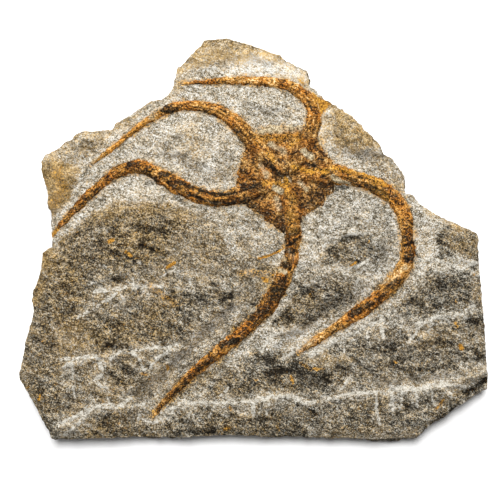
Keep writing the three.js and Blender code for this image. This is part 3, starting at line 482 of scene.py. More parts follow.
# Each lies over the ones before it.
SKINS: list[Skin] = [
    # The upper field, cleaned down round the fossil.
    Skin(0.95, 0.08, 1.2, path(
        -65.7, -4.4, -63.2, -1.5, -60.6, 1.7, -56.8, 4.9, -52.9, 7.7, -49.1, 9.7, -45.2, 11.6, -41.4, 12.2,
        -36.3, 11.9, -26.7, 11.9, -22.2, 10.3, -14.5, 7.1, -10.7, 5.2, -4.9, 0.1, 0.8, -5.4, 3.4, -7.6,
        7.9, -8.6, 12.4, -8.6, 14, -10.5, 15.9, -9.2, 18.8, -8.6, 21.3, -7.3, 22.6, -4.7, 23.6, -2.2,
        26.1, -0.3, 30, 1.3, 34.1, 1.7, 37, 0.7, 36, -4.7, 34.1, -10.5, 32.8, -16.3, 35.4, -16.6, 40.5, -13.7,
        44.4, -9.2, 46.6, -6.7, 55.2, -6.7, 60, -4.7, 59.4, -2.2, 59, 1, 61.5, 5, 64.5, 10, 46.9, 38.8,
        21.3, 64.4, -26.7, 70.8, -71.5, 45.2, -71.5, 13.2,
    )),
    # The duller ground inside the right arm's bend, and three lesser dull places.
    Skin(0.6, 0.02, 3, path(18, 12, 30, 17, 40, 13, 46, 6, 46, -9, 36, -10, 37, -2, 34, 2, 22, 2)),
    Skin(0.78, 0.3, 3, path(-12, 22, -5, 26, -4, 18, -9, 17.4, -15, 18)),
    Skin(0.56, 0.2, 3, path(-20, 13, -9, 11, 0, 8, 8, 3, 10, -6, 3, -6, -5, 1, -14, 7)),
    Skin(0.8, 0.4, 3, path(-21, 36, -16, 38, -15, 28, -19, 24, -24, 28)),
    # Warm ground right of the top arm.
    Skin(0.8, 0.6, 2, path(20.6, 46, 27, 38, 28, 27, 22.6, 30, 21.4, 38)),
    # The crown: its tan skin, brighter at the right and duller along the peak, and the pale strip under it.
    Skin(0.9, 0.75, 1.6, path(
        -27.3, 51.6, -24.8, 53.5, -20.3, 54.8, -15.5, 55.7, -10, 56.7, 1.5, 56.1, 13.6, 55.4, 16.8, 53.5,
        21.3, 54.8, 14.9, 67.6, -26.7, 70.8,
    )),
    Skin(1.35, 0.75, 2.4, path(-8, 54, -6, 59.6, 6, 60, 12, 57, 18, 56, 19, 50, 6, 53)),
    Skin(0.5, 0.7, 1.6, path(-20, 61.4, -12, 61.4, -6, 61, 1, 60.4, 4, 63, -6, 70, -20, 68)),
    Skin(1.05, 0.12, 1.2, path(
        -24, 52, -22, 54.4, -17, 54.6, -10.7, 56, -4.3, 57.4, -3, 52.6, -8, 53.6, -20, 52,
    )),
    Skin(1.6, 0.06, 1.8, path(-8, 56.4, 2, 57.8, 8.5, 57.4, 15, 55.4, 17, 53, 6, 52.6, -7, 53.4)),
    # The margin above the upper left arm.
    Skin(0.66, 0.5, 1.6, path(
        -58.7, 36.2, -45.9, 37.2, -36.3, 44.2, -28.3, 48.4, -24.8, 50.9, -22.8, 49, -26.7, 46.8, -36.3, 40.7,
        -45.2, 33, -49.7, 29.2, -54.2, 26.6, -58, 26.6, -64.4, 24.4, -71.5, 26, -66.7, 30.8,
    )),
    # The left corner, yellow with weathering.
    Skin(0.42, 1, 1.6, path(
        -69.6, 26, -65.1, 24.7, -58.7, 25, -56.8, 22.8, -56.8, 20.2, -58.7, 14.5, -61.2, 11.3, -64.4, 9.3,
        -68.3, 8.4,
    )),
    # The right shoulder, and the lighter strip over the right arm.
    Skin(0.45, 0.8, 1.8, path(
        21.3, 47.7, 24.5, 42, 25.2, 38.1, 24.5, 34.3, 25.8, 30.5, 29.3, 30.5, 31.6, 28.5, 35.4, 29.2,
        40.5, 29.2, 45.3, 26, 50.1, 29.2, 42.1, 38.8, 27.7, 51.6,
    )),
    Skin(0.7, 0.45, 1.4, path(
        36, 29.2, 41.8, 28.5, 48.2, 26, 50.8, 16.4, 47.6, 14.5, 45.6, 17.7, 42.4, 20.9, 38, 23.7, 34.1, 26,
    )),
    # The lighter right margin below the bruised band.
    Skin(0.2, 0.3, 3, path(
        34, -34, 46, -33, 62, -36, 77, -29, 78, -48, 60, -62, 52, -56, 54, -48, 38, -47, 30, -42,
    )),
    # The old skin at the right corner, its paler rim, and the rim below it.
    Skin(0.12, 0.6, 1.6, path(
        60.4, 2.6, 62.6, 3.4, 66, 3, 74.1, 2.4, 75.7, -5.4, 70.6, -5.2, 62.6, -2.6, 60.4, -1.2, 59.8, 1.2,
    )),
    Skin(0.85, 0.6, 1, path(55, 9.5, 59, 7.2, 64, 4.2, 68.6, 2.6, 72, 0.6, 73, 4, 66, 9, 57, 13)),
    Skin(0.4, 0.45, 1, path(70.6, -13, 76, -13, 76, -22, 70.8, -22)),
    # Bruised bands right of the right arm and below it.
    Skin(0.7, 0.1, 1.4, path(
        52, -6.7, 58.4, -5, 62.3, -4.6, 65.5, -4.8, 69.3, -5.3, 75.7, -6.7, 75.7, -9.9, 66.8, -12.4,
        62.9, -10.5, 56.5, -9.2, 54, -15, 50.8, -15.6, 48.2, -13.7, 50.8, -9.9,
    )),
    Skin(0.78, 0.08, 1.4, path(
        48.2, -14.3, 54.6, -15.6, 50.1, -18.8, 41.8, -23.9, 36, -27.1, 27.7, -31, 20.7, -35.5, 16.8, -37.1,
        14.3, -36.7, 16.2, -34.8, 29.3, -27.8, 36, -23.3, 43.1, -18.2,
    )),
    Skin(0.25, 0.15, 1.6, path(
        50.1, -18.8, 54.6, -17.5, 59.7, -18.8, 63.6, -20.7, 72.5, -18.8, 73.8, -22, 68, -23.9, 58.4, -25.9,
        53.3, -27.1, 48.5, -29.7, 38, -29.1, 30.3, -32.9, 26.4, -34.8, 24.5, -33.2, 31.6, -29.4, 41.8, -23.9,
    )),
    # A dull place in that band, the light ground above the old ground between the arms, a tan place in the
    # left field, and the lighter strip under the band.
    Skin(0.1, 0.25, 2, path(48.6, -16.4, 52, -15.6, 60, -17, 60, -22, 52, -22, 48.6, -20.6)),
    Skin(0.56, 0.14, 1.6, path(13, -8, 22, -6, 35, -8, 33.6, -12.4, 27, -12, 21, -14, 15, -16.4)),
    Skin(0.4, 0.6, 2.4, path(-64, -27, -55, -27, -54, -34, -63, -35)),
    Skin(0.42, 0.4, 2, path(36, -29, 48, -27, 62, -29, 76, -27, 76, -33, 60, -34, 46, -33)),
    # Between the lower arm and the right arm's tip.
    Skin(0.74, 0.08, 1.2, path(
        2.8, -25.9, 9.2, -18.2, 11.7, -15, 14, -11.1, 14.9, -9.9, 13.6, -15, 11.1, -20.1, 7.2, -25.2,
        7.9, -27.8, 11.7, -28.4, 16.2, -27.1, 22, -25.5, 27.7, -22.7, 31.6, -20.1, 33.2, -16.9, 35.4, -16.9,
        36.7, -19.5, 34.1, -22.7, 27.7, -27.1, 21.3, -31, 14.9, -34.8, 11.1, -35.5, 2.8, -36.1, -0.4, -34.8,
        -2.4, -31.6, 0.2, -29.1,
    )),
    # Beside the lower arm: left, then right.
    Skin(0.7, 0.2, 1.6, path(
        -1.7, -6.7, 2.8, -8.6, 4, -11.8, 0.8, -18.8, -5.6, -25.9, -14.5, -33.5, -22.8, -40.6, -29.9, -50.2,
        -32.4, -53.4, -34.4, -52.7, -32.4, -48.9, -24.8, -39.9, -15.8, -31, -12, -24.6, -8.8, -21.4,
        -4.3, -18.8, -3, -15, -4.3, -11.1,
    )),
    Skin(0.72, 0.08, 1.2, path(
        2.8, -25.9, -5.6, -35.5, -12.6, -42.5, -20.9, -49.5, -28, -54.7, -31.2, -57.2, -29.9, -58.5,
        -26, -55.9, -21.6, -52.7, -17.1, -50.8, -12.6, -46.3, -6.8, -40.6, -0.4, -36.1, 1.5, -32.9,
    )),
    # Tan ground left of the lower arm's root.
    Skin(0.34, 0.45, 3, path(
        -10, 6, -3, -1, 3, -6.4, 9, -9.6, 6, -16, -1, -18.8, -12, -16, -22, -14, -27, -7, -26, 1, -18.7, 6,
    )),
    # Bruised ground left of the lower arm, and round the two rows of bruises in the left field.
    Skin(0.42, 0.36, 2, path(
        -20.3, -6.7, -15.5, -6.7, -9.1, -8.6, 2.8, -8.6, 4.7, -12.4, 1.5, -16.3, -3, -15.6, -4.3, -18.8,
        -12.6, -24.6, -15.2, -28.4, -18.4, -31, -21.6, -28.4, -18.4, -24.6, -12, -17.5, -15.2, -15,
        -18.4, -15.6, -21.6, -13.1,
    )),
    Skin(0.27, 0.5, 2, path(
        -54.2, -18.8, -50.4, -15.6, -45.9, -14, -42.7, -11.1, -37.6, -9.2, -28, -8.6, -24.8, -12.4,
        -26.7, -16.3, -34.4, -20.7, -37.6, -18.8, -45.2, -20.7, -49.7, -22.7, -54.2, -25.9, -57.4, -25.2,
    )),
    Skin(0.27, 0.42, 2, path(
        -63.2, -36.7, -55.5, -34.8, -49.1, -35.5, -39.5, -33.2, -21.6, -32.3, -20.3, -35.5, -24.8, -38,
        -27.3, -41.9, -31.2, -41.9, -34.4, -39.9, -39.5, -38.7, -44.6, -38.7, -46.5, -45.7, -49.1, -48.3,
        -52.9, -48.3, -56.8, -44.4, -60.6, -43.1,
    )),
    # The pale slope between the old ground and the lower arm.
    Skin(0.66, 0.3, 2.4, path(
        -13, -25, -20, -30, -28, -37.5, -36, -46, -36, -51, -30, -47, -21, -38.5, -12, -31, -9, -27,
    )),
    # Bruised ground along the foot.
    Skin(0.3, 0.4, 2, path(
        -63.2, -58.5, -58.7, -54.7, -54.2, -51.5, -49.1, -50.2, -38.2, -49.5, -33.1, -50.2, -34.4, -54.7,
        -36.3, -58.5, -45.2, -54, -49.1, -55.9, -55.5, -62.3, -61.9, -63,
    )),
    Skin(0.42, 0.2, 1.6, path(
        -24.8, -52.1, -15.2, -49.5, -4.3, -49.5, 0.8, -48.3, 6.6, -47.6, 18.8, -49.5, 27.7, -47.6,
        32.8, -46.3, 43.7, -45.1, 56.5, -44.4, 62.9, -43.1, 75.7, -39.9, 75.7, -45.1, 69.3, -45.7,
        63.6, -48.3, 54.6, -48.3, 50.1, -50.8, 46.3, -52.1, 43.1, -50.2, 31.6, -50.8, 20.7, -52.7, 9.8, -52.1,
        -1.1, -55.3, -6.8, -54, -18.4, -53.4, -23.5, -54.7,
    )),
    # Bright ground round the right arm's tip, and the duller place under it.
    Skin(1.1, 0.1, 1.6, path(9, -27, 15, -27, 19, -30.6, 27, -28.4, 27, -32, 17, -34, 12, -35, 9, -32)),
    Skin(0.5, 0.2, 1.2, path(8.4, -35.6, 13, -35.6, 13, -38.4, 9.4, -38.6)),
    # The pale top of the ledge along the foot.
    Skin(0.62, 0.3, 1.6, path(
        26, -46, 34, -45.6, 42, -44, 56, -42.4, 64, -40.6, 76, -38.4, 76, -42, 66, -44.4, 64, -48, 58, -47.4,
        44, -47.4,
    )),
    # Painted light on the foot's rounded rim, which falls away from the lamps, and lighter ground among the
    # bruises left of the middle and at the left edge.
    Skin(0.42, 0.35, 1.2, path(18, -60.4, 40, -60, 52, -59.4, 58, -57, 60, -60, 50, -66, 18, -66)),
    Skin(0.42, 0.4, 1.6, path(-47, -46.6, -37, -47, -35, -50.4, -46, -50.4)),
    Skin(0.5, 0.3, 1.4, path(-14.6, -39, -10, -38.6, -9, -42, -12.6, -42)),
    Skin(0.45, 0.35, 1.4, path(-60, -39.6, -55, -39.6, -55, -43.4, -59, -43.4)),
    Skin(0.3, 0.5, 1.4, path(-75, -40, -68.4, -41, -68.4, -45, -73, -47)),
    # A tan ledge under the right arm's tip.
    Skin(0.4, 0.5, 1.4, path(
        16.8, -36.7, 20.7, -35.5, 29.6, -35.5, 31.6, -38, 27.7, -39.3, 20.7, -41.9, 17.5, -39.9, 14.9, -38,
    )),
    # A pale streak over the tan ground, from the disc toward the lower arm's root.
    Skin(0.8, 0.1, 1, path(-12.6, 6, -9, 2, -7.4, -3, -2.6, -7, -1.4, -5, -5.4, -1.6, -7, 3.4, -10.6, 8)),
    # A low boss of old skin inside the right arm's bend.
    Skin(0.28, 0.35, 1.2, path(
        23.6, -3, 27.4, -1, 30.9, 0.9, 36, 1.3, 36.7, -0.9, 34.8, -3.5, 36, -5.4, 30.9, -7.9, 27.7, -6.7,
        25.8, -8.6, 22.6, -7.3, 22, -4.7,
    )),
    # The left field's tan upper border and its left edge.
    Skin(0.32, 0.75, 1.8, path(
        -50.4, 8.7, -45.2, 11.3, -40.8, 11.9, -26.7, 11.6, -22.2, 10, -17.7, 7.4, -21.6, 6.1, -26.7, 8.7,
        -39.5, 9, -45.2, 8.1, -49.1, 6.1,
    )),
    Skin(0.28, 0.85, 1.2, path(
        -68.9, -2.8, -64.4, -1.5, -63.8, -4.7, -65.7, -9.2, -67, -15.6, -68.3, -18.8, -72.8, -22,
        -72.1, -12.4,
    )),
]


@dataclass(frozen=True)
class Ground:
    """The stone's face: its relief and its colours, as fields over the slab's plane.

    Lengths are in millimetres, and a fray is how far an edge strays. light is 0 on old dark ground and 1
    where freshly cleaned, and warmth is 0 for grey and 1 for tan.
    """

    # Relief.
    face_height: float = 17.6
    cleaned_depth: float = 1.7
    cleaned_span: Span = (2.2, 8.5)
    cleaned_fray: Layers = ((1.4, 8, 1),)
    roughness_cleaned_off: float = 0.7
    patch_span: Span = (-0.7, 1.4)
    patch_fray: Layers = ((0.9, 5, 3),)
    ledge_onset: float = 1.4
    ledge_end: float = 5
    ledge_fray: Layers = ((0.7, 4, 2),)
    hollow_span: Span = (0.2, 1.1)
    rim_drop: float = 1.2
    rim_width: float = 2.8
    rim_fray: Layers = ((0.6, 5, 7),)
    swells: Layers = ((0.5, 17, 4), (0.35, 6.5, 5), (0.2, 3.2, 6))
    # Finest relief.
    pits: Layers = ((0.28, 2.6, 22), (0.19, 1.3, 23))
    lamina_degrees: float = -24
    lamina_height: float = 0.42
    laminae: tuple[tuple[float, float, float, int], ...] = ((0.6, 3.2, 1.5, 20), (0.4, 2.4, 0.9, 21))
    pits_cleaned: float = 0.5
    pits_weathered: float = 0.8
    bruise_height: float = 0.2
    bruise_fray: float = 0.3
    shade_depth: float = 0.35
    shade_fray: float = 0.6
    # Colours: the old surface's, with their change per millimetre, and what alters them.
    old_light: float = 0.02
    light_rightward: float = -0.0014
    light_blotches: Layers = ((0.1, 9, 30),)
    old_warmth: float = 0.47
    warmth_rightward: float = -0.0018
    warmth_downward: float = -0.0012
    warmth_blotches: Layers = ((0.2, 10, 35),)
    skin_fray: Layers = ((0.9, 5, 31), (0.7, 2.2, 32))
    light_wear: Layers = ((0.12, 7, 33),)
    halo_light: float = 0.16
    halo_span: Span = (0.2, 2.4)
    haze_light: float = 0.16
    haze_widening: float = 2
    haze_margin: float = 1.5
    haze_fray: float = 2
    dirt_and_shade_darkness: float = 0.8
    dirt_and_shade_fray: float = 1
    light_flecks: Layers = ((0.09, 2.6, 34),)
    warmth_flecks: Layers = ((0.12, 4, 37),)
    bleed_fray: Layers = ((0.9, 1.6, 38),)
    bleed: float = 0.42
    bleed_span: Span = (-0.3, 1.2)
    stain_fray: float = 0.25

    def cleaned(self, x: Array, y: Array, gap: Array) -> Array:
        """How much of the cleaning round the fossil shows, from 0 to 1."""
        return 1 - smooth(*self.cleaned_span, gap + layered(x, y, self.cleaned_fray))

    def _ledge(self, x: Array, y: Array, rise: float, run: float, line: list[Point]) -> Array:
        """The height that one ledge adds."""
        xs, ys = np.array(line).T
        below = np.interp(x, xs, ys) - y + layered(x, y, self.ledge_fray)
        end = 1 - smooth(0, self.ledge_end, np.maximum(xs[0] - x, x - xs[-1]))
        return rise * end * smooth(0, self.ledge_onset, below) * np.exp(-np.maximum(below, 0) / run)

    def height(self, x: Array, y: Array, gap: Array | None = None) -> Array:
        """Height of the face above the back, without the finest relief."""
        gap = distance_to_fossil(x, y) if gap is None else gap
        cleaned = self.cleaned(x, y, gap)
        rough = 1 - self.roughness_cleaned_off * cleaned
        z = self.face_height - self.cleaned_depth * cleaned
        for patch in PATCHES:
            depth = depth_inside(x, y, patch.outline) + layered(x, y, self.patch_fray)
            z += patch.rise * smooth(*self.patch_span, depth) * (1 - cleaned)
        for rise, run, line in LEDGES:
            z += self._ledge(x, y, rise, run, line) * rough
        for hx, hy, radius, depth in HOLLOWS:
            from_middle = np.hypot(x - hx, y - hy) / radius
            z -= depth * rough * (1 - smooth(*self.hollow_span, from_middle))
        z += rough * layered(x, y, self.swells)
        edge = depth_inside(x, y, RIM) + layered(x, y, self.rim_fray)
        return z - self.rim_drop * (1 - smooth(0, self.rim_width, edge))

    def fine(self, x: Array, y: Array, gap: Array) -> Array:
        """The finest relief: pits and grains, laminae on the weathered ground, and tool marks."""
        old = 1 - self.cleaned(x, y, gap)
        turn = math.radians(self.lamina_degrees)
        cosine, sine = math.cos(turn), math.sin(turn)
        along, across = x * cosine + y * sine, y * cosine - x * sine
        laminae = sum(share * lumps(along / stretch, across, size, seed)
                      for share, stretch, size, seed in self.laminae)
        marks = self.bruise_height * drawn(x, y, BRUISES, self.bruise_fray)
        marks = marks - self.shade_depth * drawn(x, y, DIRT_AND_PAINTED_SHADE, self.shade_fray)
        pits = layered(x, y, self.pits) * (self.pits_cleaned + self.pits_weathered * old)
        return pits + self.lamina_height * laminae * old + marks

    def skin(self, x: Array, y: Array, gap: Array) -> tuple[Array, Array]:
        """The stone's light and its warmth."""
        light = self.old_light + self.light_rightward * x + layered(x, y, self.light_blotches)
        warmth = self.old_warmth + self.warmth_rightward * x - self.warmth_downward * np.minimum(y, 0)
        warmth = warmth + layered(x, y, self.warmth_blotches)
        stray = layered(x, y, self.skin_fray)
        for skin in SKINS:
            share = smooth(-skin.soft, skin.soft, depth_inside(x, y, skin.outline) + stray)
            light = light * (1 - share) + skin.light * share
            warmth = warmth * (1 - share) + skin.warmth * share
        halo = self.halo_light * (1 - smooth(*self.halo_span, gap))
        light += layered(x, y, self.light_wear) * light + halo * (1 - light)
        # Painted shade and dirt: the dark strokes darken the stone.
        light += self.haze_light * self.haze(x, y) - self.dirt_and_shade_darkness * drawn(x, y, DIRT_AND_PAINTED_SHADE, self.dirt_and_shade_fray)
        return light + layered(x, y, self.light_flecks), warmth + layered(x, y, self.warmth_flecks)

    def haze(self, x: Array, y: Array) -> Array:
        """How crushed the stone is round the bruises, from 0 to 1."""
        wide = [(self.haze_widening * width + self.haze_margin, *rest) for width, *rest in BRUISES]
        return np.clip(drawn(x, y, wide, self.haze_fray), 0, 1)

    def stain(self, x: Array, y: Array, gap: Array) -> Array:
        """How much rust has bled into the stone, from 0 to 1."""
        ragged = gap + layered(x, y, self.bleed_fray)
        bled = self.bleed * (1 - smooth(*self.bleed_span, ragged))
        return np.maximum(bled, drawn(x, y, STAINS, self.stain_fray))


# ---------- meshes ----------
def fresh_grid(name: str, columns: int, rows: int) -> Object:
    """Adds a flat grid from 0 to 1 both ways, with nothing else selected."""
    if bpy.context.object and bpy.context.object.mode != "OBJECT":
        bpy.ops.object.mode_set(mode="OBJECT")
    bpy.ops.object.select_all(action="DESELECT")
    bpy.ops.mesh.primitive_grid_add(
        x_subdivisions=columns, y_subdivisions=rows, size=1, calc_uvs=False, location=(0.5, 0.5, 0),
    )
    bpy.ops.object.transform_apply(location=True, rotation=False, scale=False)
    grid = bpy.context.object
    grid.name = grid.data.name = name
    return grid


def rows_of(items: bpy.types.bpy_prop_collection, name: str) -> Array:
    """A property of three numbers of every item, one row each."""
    flat = np.empty(len(items) * 3)
    items.foreach_get(name, flat)
    return flat.reshape(-1, 3)


def points_of(piece: Object) -> Array:
    """The vertices of a piece, one row each, in metres."""
    return rows_of(piece.data.vertices, "co")


def put_points(piece: Object, points: Array) -> None:
    """Moves the vertices of a piece."""
    piece.data.vertices.foreach_set("co", np.ascontiguousarray(points, dtype=np.float32).ravel())
    piece.data.update()


def paint(piece: Object, **marks: Array) -> None:
    """Stores one number per vertex for each mark, for the material to read by the mark's name."""
    for name, values in marks.items():
        layer = piece.data.attributes.new(name, "FLOAT", "POINT")
        layer.data.foreach_set("value", values.astype(np.float32))


@contextmanager
def editing(piece: Object, by: str = "VERT") -> Iterator[None]:
    """Holds a piece in edit mode, selecting by VERT, EDGE or FACE."""
    bpy.context.view_layer.objects.active = piece
    bpy.ops.object.mode_set(mode="EDIT")
    bpy.ops.mesh.select_mode(type=by)
    yield
    bpy.ops.object.mode_set(mode="OBJECT")


def select_border() -> None:
    """Selects the open edges of the piece in edit mode."""
    bpy.ops.mesh.select_all(action="DESELECT")
    bpy.ops.mesh.select_non_manifold(
        use_wire=False, use_multi_face=False, use_non_contiguous=False, use_verts=False,
    )


@dataclass(frozen=True)
class Roughness:
    """Cloud-like grains that displace a surface.

    depth is how far they stand in and out together. Edges sharper than sharp_degrees stay sharp.
    """

    size: float
    depth: float
    sharp_degrees: float
    octaves: int = 2

    def apply(self, piece: Object, group: str = "") -> None:
        """Displaces a piece, or one vertex group of it, and closes and smooths the result."""
        grains = bpy.data.textures.new(f"{piece.name}_grains", "CLOUDS")
        grains.noise_scale = self.size * MM
        grains.noise_depth = self.octaves
        displace = piece.modifiers.new("grains", "DISPLACE")
        displace.texture = grains
        displace.texture_coords = "LOCAL"
        displace.strength = self.depth * MM
        displace.mid_level = 0.5
        displace.vertex_group = group
        bpy.context.view_layer.objects.active = piece
        bpy.ops.object.modifier_apply(modifier=displace.name)
        with editing(piece):
            bpy.ops.mesh.select_all(action="SELECT")
            bpy.ops.mesh.remove_doubles(threshold=MERGE * MM)
            bpy.ops.mesh.normals_make_consistent(inside=False)
        bpy.ops.object.select_all(action="DESELECT")
        piece.select_set(True)
        bpy.ops.object.shade_smooth_by_angle(angle=math.radians(self.sharp_degrees))


def hand_over(piece: Object, node: str, material: Material) -> None:
    """Dresses a piece, lets it stand for its node and sets it on the slab's body."""
    piece.data.materials.clear()
    piece.data.materials.append(material)
    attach(piece, BODY)
    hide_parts(node)
    log.info("%s: %d faces", piece.name, len(piece.data.polygons))


@dataclass
class Slab:
    """The broken slab: its face, its bedded sides and its flat back. Lengths are in millimetres."""

    ground: Ground
    half_width: float = 75
    half_height: float = 65
    # The mesh: its cells, the levels down its sides, and how many points are matched to the rim at a time.
    cell: float = 0.46
    levels: int = 15
    search_part: int = 2000
    # The rim: its fray, over how many of its points its direction is taken, and how many cuts skip over.
    rim_fray: float = 0.22
    rim_lumps: Layers = ((0.6, 1.7, 50), (0.4, 0.8, 51))
    fray_reach: int = 3
    side_reach: int = 10
    cut_step: int = 3
    # The sides: how the beds wander, the knob on two of them, and lumps with their height, their drift to the
    # right and up, their size and their seed.
    bed_wander: float = 0.8
    bed_wander_length: float = 7
    bed_seed: int = 10
    knob: Point = (43, 6.5)
    knob_out: float = 3.2
    knob_beds: tuple[int, ...] = (1, 2)
    knob_facing: float = -0.5
    side_lumps: tuple[tuple[float, float, float, float, int], ...] = (
        (0.5, 2.7, -1.9, 3.1, 60), (0.35, -1.6, 2.2, 1.5, 61),
    )
    foot_span: Span = (0, 1.2)
    top_span: Span = (15.5, 16.5)
    fine_levels: int = 3
    # The sides' colour, with painted light where they face up the slab toward the side lamp, and the levels
    # over which the face's marks fade out.
    fade_levels: int = 2
    side_light: float = 0.35
    painted_light_by_facing: float = 0.35
    side_light_blotches: Layers = ((0.1, 4, 62),)
    side_warmth: float = 0.4
    side_warmth_blotches: Layers = ((0.25, 6, 63),)
    bruise_fray: float = 0.36
    # The grains, and the height up to which the back stays flat.
    roughness: Roughness = Roughness(1.1, 0.5, 52)
    flat_back: float = 0.3

    def build(self) -> Object:
        """Makes the slab as one closed mesh with its marks."""
        slab = self._cut_face()
        self._drop_sides(slab)
        self._shape(slab)
        raised = np.flatnonzero(points_of(slab)[:, 2] > self.flat_back * MM)
        rough = slab.vertex_groups.new(name="rough")
        rough.add([int(i) for i in raised], 1, "REPLACE")
        self.roughness.apply(slab, rough.name)
        return slab

    def _rim(self) -> Array:
        """The rim in steps of about half a cell, a little frayed, counter-clockwise."""
        turned = RIM[::-1]
        points = []
        for a, b in zip(turned, turned[1:] + turned[:1]):
            count = max(1, round(math.dist(a, b) / (self.cell / 2)))
            share = np.arange(count)[:, None] / count
            points.append(np.array(a) * (1 - share) + np.array(b) * share)
        rim = np.concatenate(points)
        stray = layered(rim[:, 0], rim[:, 1], self.rim_lumps)
        rim = rim + self.rim_fray * stray[:, None] * self._normals(rim, self.fray_reach)
        return np.clip(rim, (-self.half_width, -self.half_height), (self.half_width, self.half_height))

    def _normals(self, rim: Array, reach: int) -> Array:
        """Outward normals of the rim, from neighbours a few steps away."""
        chord = np.roll(rim, -reach, axis=0) - np.roll(rim, reach, axis=0)
        normals = np.stack([chord[:, 1], -chord[:, 0]], axis=1)
        return normals / np.maximum(np.linalg.norm(normals, axis=1, keepdims=True), TINY)

    def _nearest(self, points: Array, rim: Array) -> Array:
        """The index of the rim point that is nearest to each point."""
        found = np.empty(len(points), int)
        for start in range(0, len(points), self.search_part):
            part = points[start : start + self.search_part]
            apart = (part[:, None, 0] - rim[None, :, 0]) ** 2 + (part[:, None, 1] - rim[None, :, 1]) ** 2
            found[start : start + self.search_part] = apart.argmin(axis=1)
        return found

    def _cut_face(self) -> Object:
        """Cuts the face's blank out of a grid and draws its border onto the rim."""
        columns = math.ceil(2 * self.half_width / self.cell)
        rows = math.ceil(2 * self.half_height / self.cell)
        slab = fresh_grid("stone_slab_fine", columns, rows)
        points = points_of(slab)
        points[:, 0] = (points[:, 0] * 2 - 1) * self.half_width
        points[:, 1] = (points[:, 1] * 2 - 1) * self.half_height
        put_points(slab, points * MM)
        centres = rows_of(slab.data.polygons, "center") / MM
        with editing(slab, "FACE"):
            bpy.ops.mesh.select_all(action="DESELECT")
        rim = self._rim()
        coarse = [tuple(p) for p in rim[:: self.cut_step]]
        slab.data.polygons.foreach_set("select", depth_inside(centres[:, 0], centres[:, 1], coarse) < 0)
        with editing(slab, "FACE"):
            bpy.ops.mesh.delete(type="FACE")
            bpy.ops.mesh.select_mode(type="VERT")
            select_border()
        border = np.empty(len(slab.data.vertices), bool)
        slab.data.vertices.foreach_get("select", border)
        points = points_of(slab)
        near = self._nearest(points[border, :2] / MM, rim)
        points[border, :2] = rim[near] * MM
        put_points(slab, points)
        return slab

    def _drop_sides(self, slab: Object) -> None:
        """Extrudes the border down level by level, one unit of height each, and closes the back."""
        with editing(slab, "EDGE"):
            select_border()
            for _ in range(self.levels):
                bpy.ops.mesh.extrude_edges_move(TRANSFORM_OT_translate={"value": (0, 0, -1)})
            bpy.ops.mesh.edge_face_add()

    def _reach(self, x: Array, y: Array, z: Array, normal: Array) -> Array:
        """How far the broken side stands out from the rim at each point."""
        heights = np.array([height for height, _ in BEDS])
        reaches = []
        for bed, (_, out) in enumerate(BEDS):
            reach = np.full(x.shape, float(out))
            if bed < len(BEDS) - 1:
                reach += self.bed_wander * lumps(x, y, self.bed_wander_length, self.bed_seed + bed)
            if bed in self.knob_beds:
                share = smooth(0.5, 1, np.abs(x - self.knob[0]) / self.knob[1])
                reach += np.where(normal[:, 1] < self.knob_facing, self.knob_out * (1 - share), 0)
            reaches.append(reach)
        level = np.clip(np.searchsorted(heights, z, side="right") - 1, 0, len(BEDS) - 2)
        low, high = heights[level], heights[level + 1]
        share = np.clip((z - low) / (high - low), 0, 1)
        stacked = np.stack(reaches)
        rows = np.arange(len(x))
        reach = stacked[level, rows] * (1 - share) + stacked[level + 1, rows] * share
        fine = sum(height * lumps(x + right * z, y + up * z, size, seed)
                   for height, right, up, size, seed in self.side_lumps)
        return reach + fine * smooth(*self.foot_span, z) * (1 - smooth(*self.top_span, z))

    def _shape(self, slab: Object) -> None:
        """Gives the face its relief and the sides their beds, and paints the marks."""
        points = points_of(slab)
        x, y = points[:, 0] / MM, points[:, 1] / MM
        level = np.rint(-points[:, 2]).astype(int)
        gap = distance_to_fossil(x, y)
        top = self.ground.height(x, y, gap)
        fine = self.ground.fine(x, y, gap)
        z = np.where(level > 0, top * (1 - level / self.levels), top + fine)
        z = np.where(level == 0, z, z + fine * np.maximum(0, 1 - level / self.fine_levels))
        rim = self._rim()
        side = np.flatnonzero(level > 0)
        near = self._nearest(np.stack([x[side], y[side]], axis=1), rim)
        normal = self._normals(rim, self.side_reach)[near]
        reach = self._reach(x[side], y[side], z[side], normal)
        new_x, new_y = x.copy(), y.copy()
        new_x[side] = np.clip(x[side] + reach * normal[:, 0], -self.half_width, self.half_width)
        new_y[side] = np.clip(y[side] + reach * normal[:, 1], -self.half_height, self.half_height)
        put_points(slab, np.stack([new_x, new_y, np.maximum(z, 0)], axis=1) * MM)
        facing = np.zeros(len(x))
        facing[side] = normal[:, 1]
        self._paint_marks(slab, (x, y, z), gap, facing, smooth(0, self.fade_levels, level.astype(float)))

    def _paint_marks(self, slab: Object, place: tuple[Array, Array, Array], gap: Array, facing: Array,
                     fade: Array) -> None:
        """Paints the face's marks, which fade out down the sides, and the sides' own colours.

        Args:
            slab: the slab.
            place: the x, y and z of its vertices before the sides are shaped, in millimetres.
            gap: their distance to the fossil.
            facing: how far up the slab's plane the side faces there, which sets the side's painted light.
            fade: how much of the side's colour shows there.
        """
        x, y, z = place
        # Painted light: sides that face up the slab, toward the side lamp, are painted lighter.
        side_light = self.side_light + self.painted_light_by_facing * facing
        side_light = side_light + layered(x + z, y - z, self.side_light_blotches)
        side_warmth = self.side_warmth + layered(x - z, y + z, self.side_warmth_blotches)
        light, warmth = self.ground.skin(x, y, gap)
        paint(
            slab,
            light=light * (1 - fade) + side_light * fade,
            warmth=warmth * (1 - fade) + side_warmth * fade,
            stain=self.ground.stain(x, y, gap) * (1 - fade),
            bruise=drawn(x, y, BRUISES, self.bruise_fray) * (1 - fade),
            haze=self.ground.haze(x, y) * (1 - fade),
            side=fade,
        )


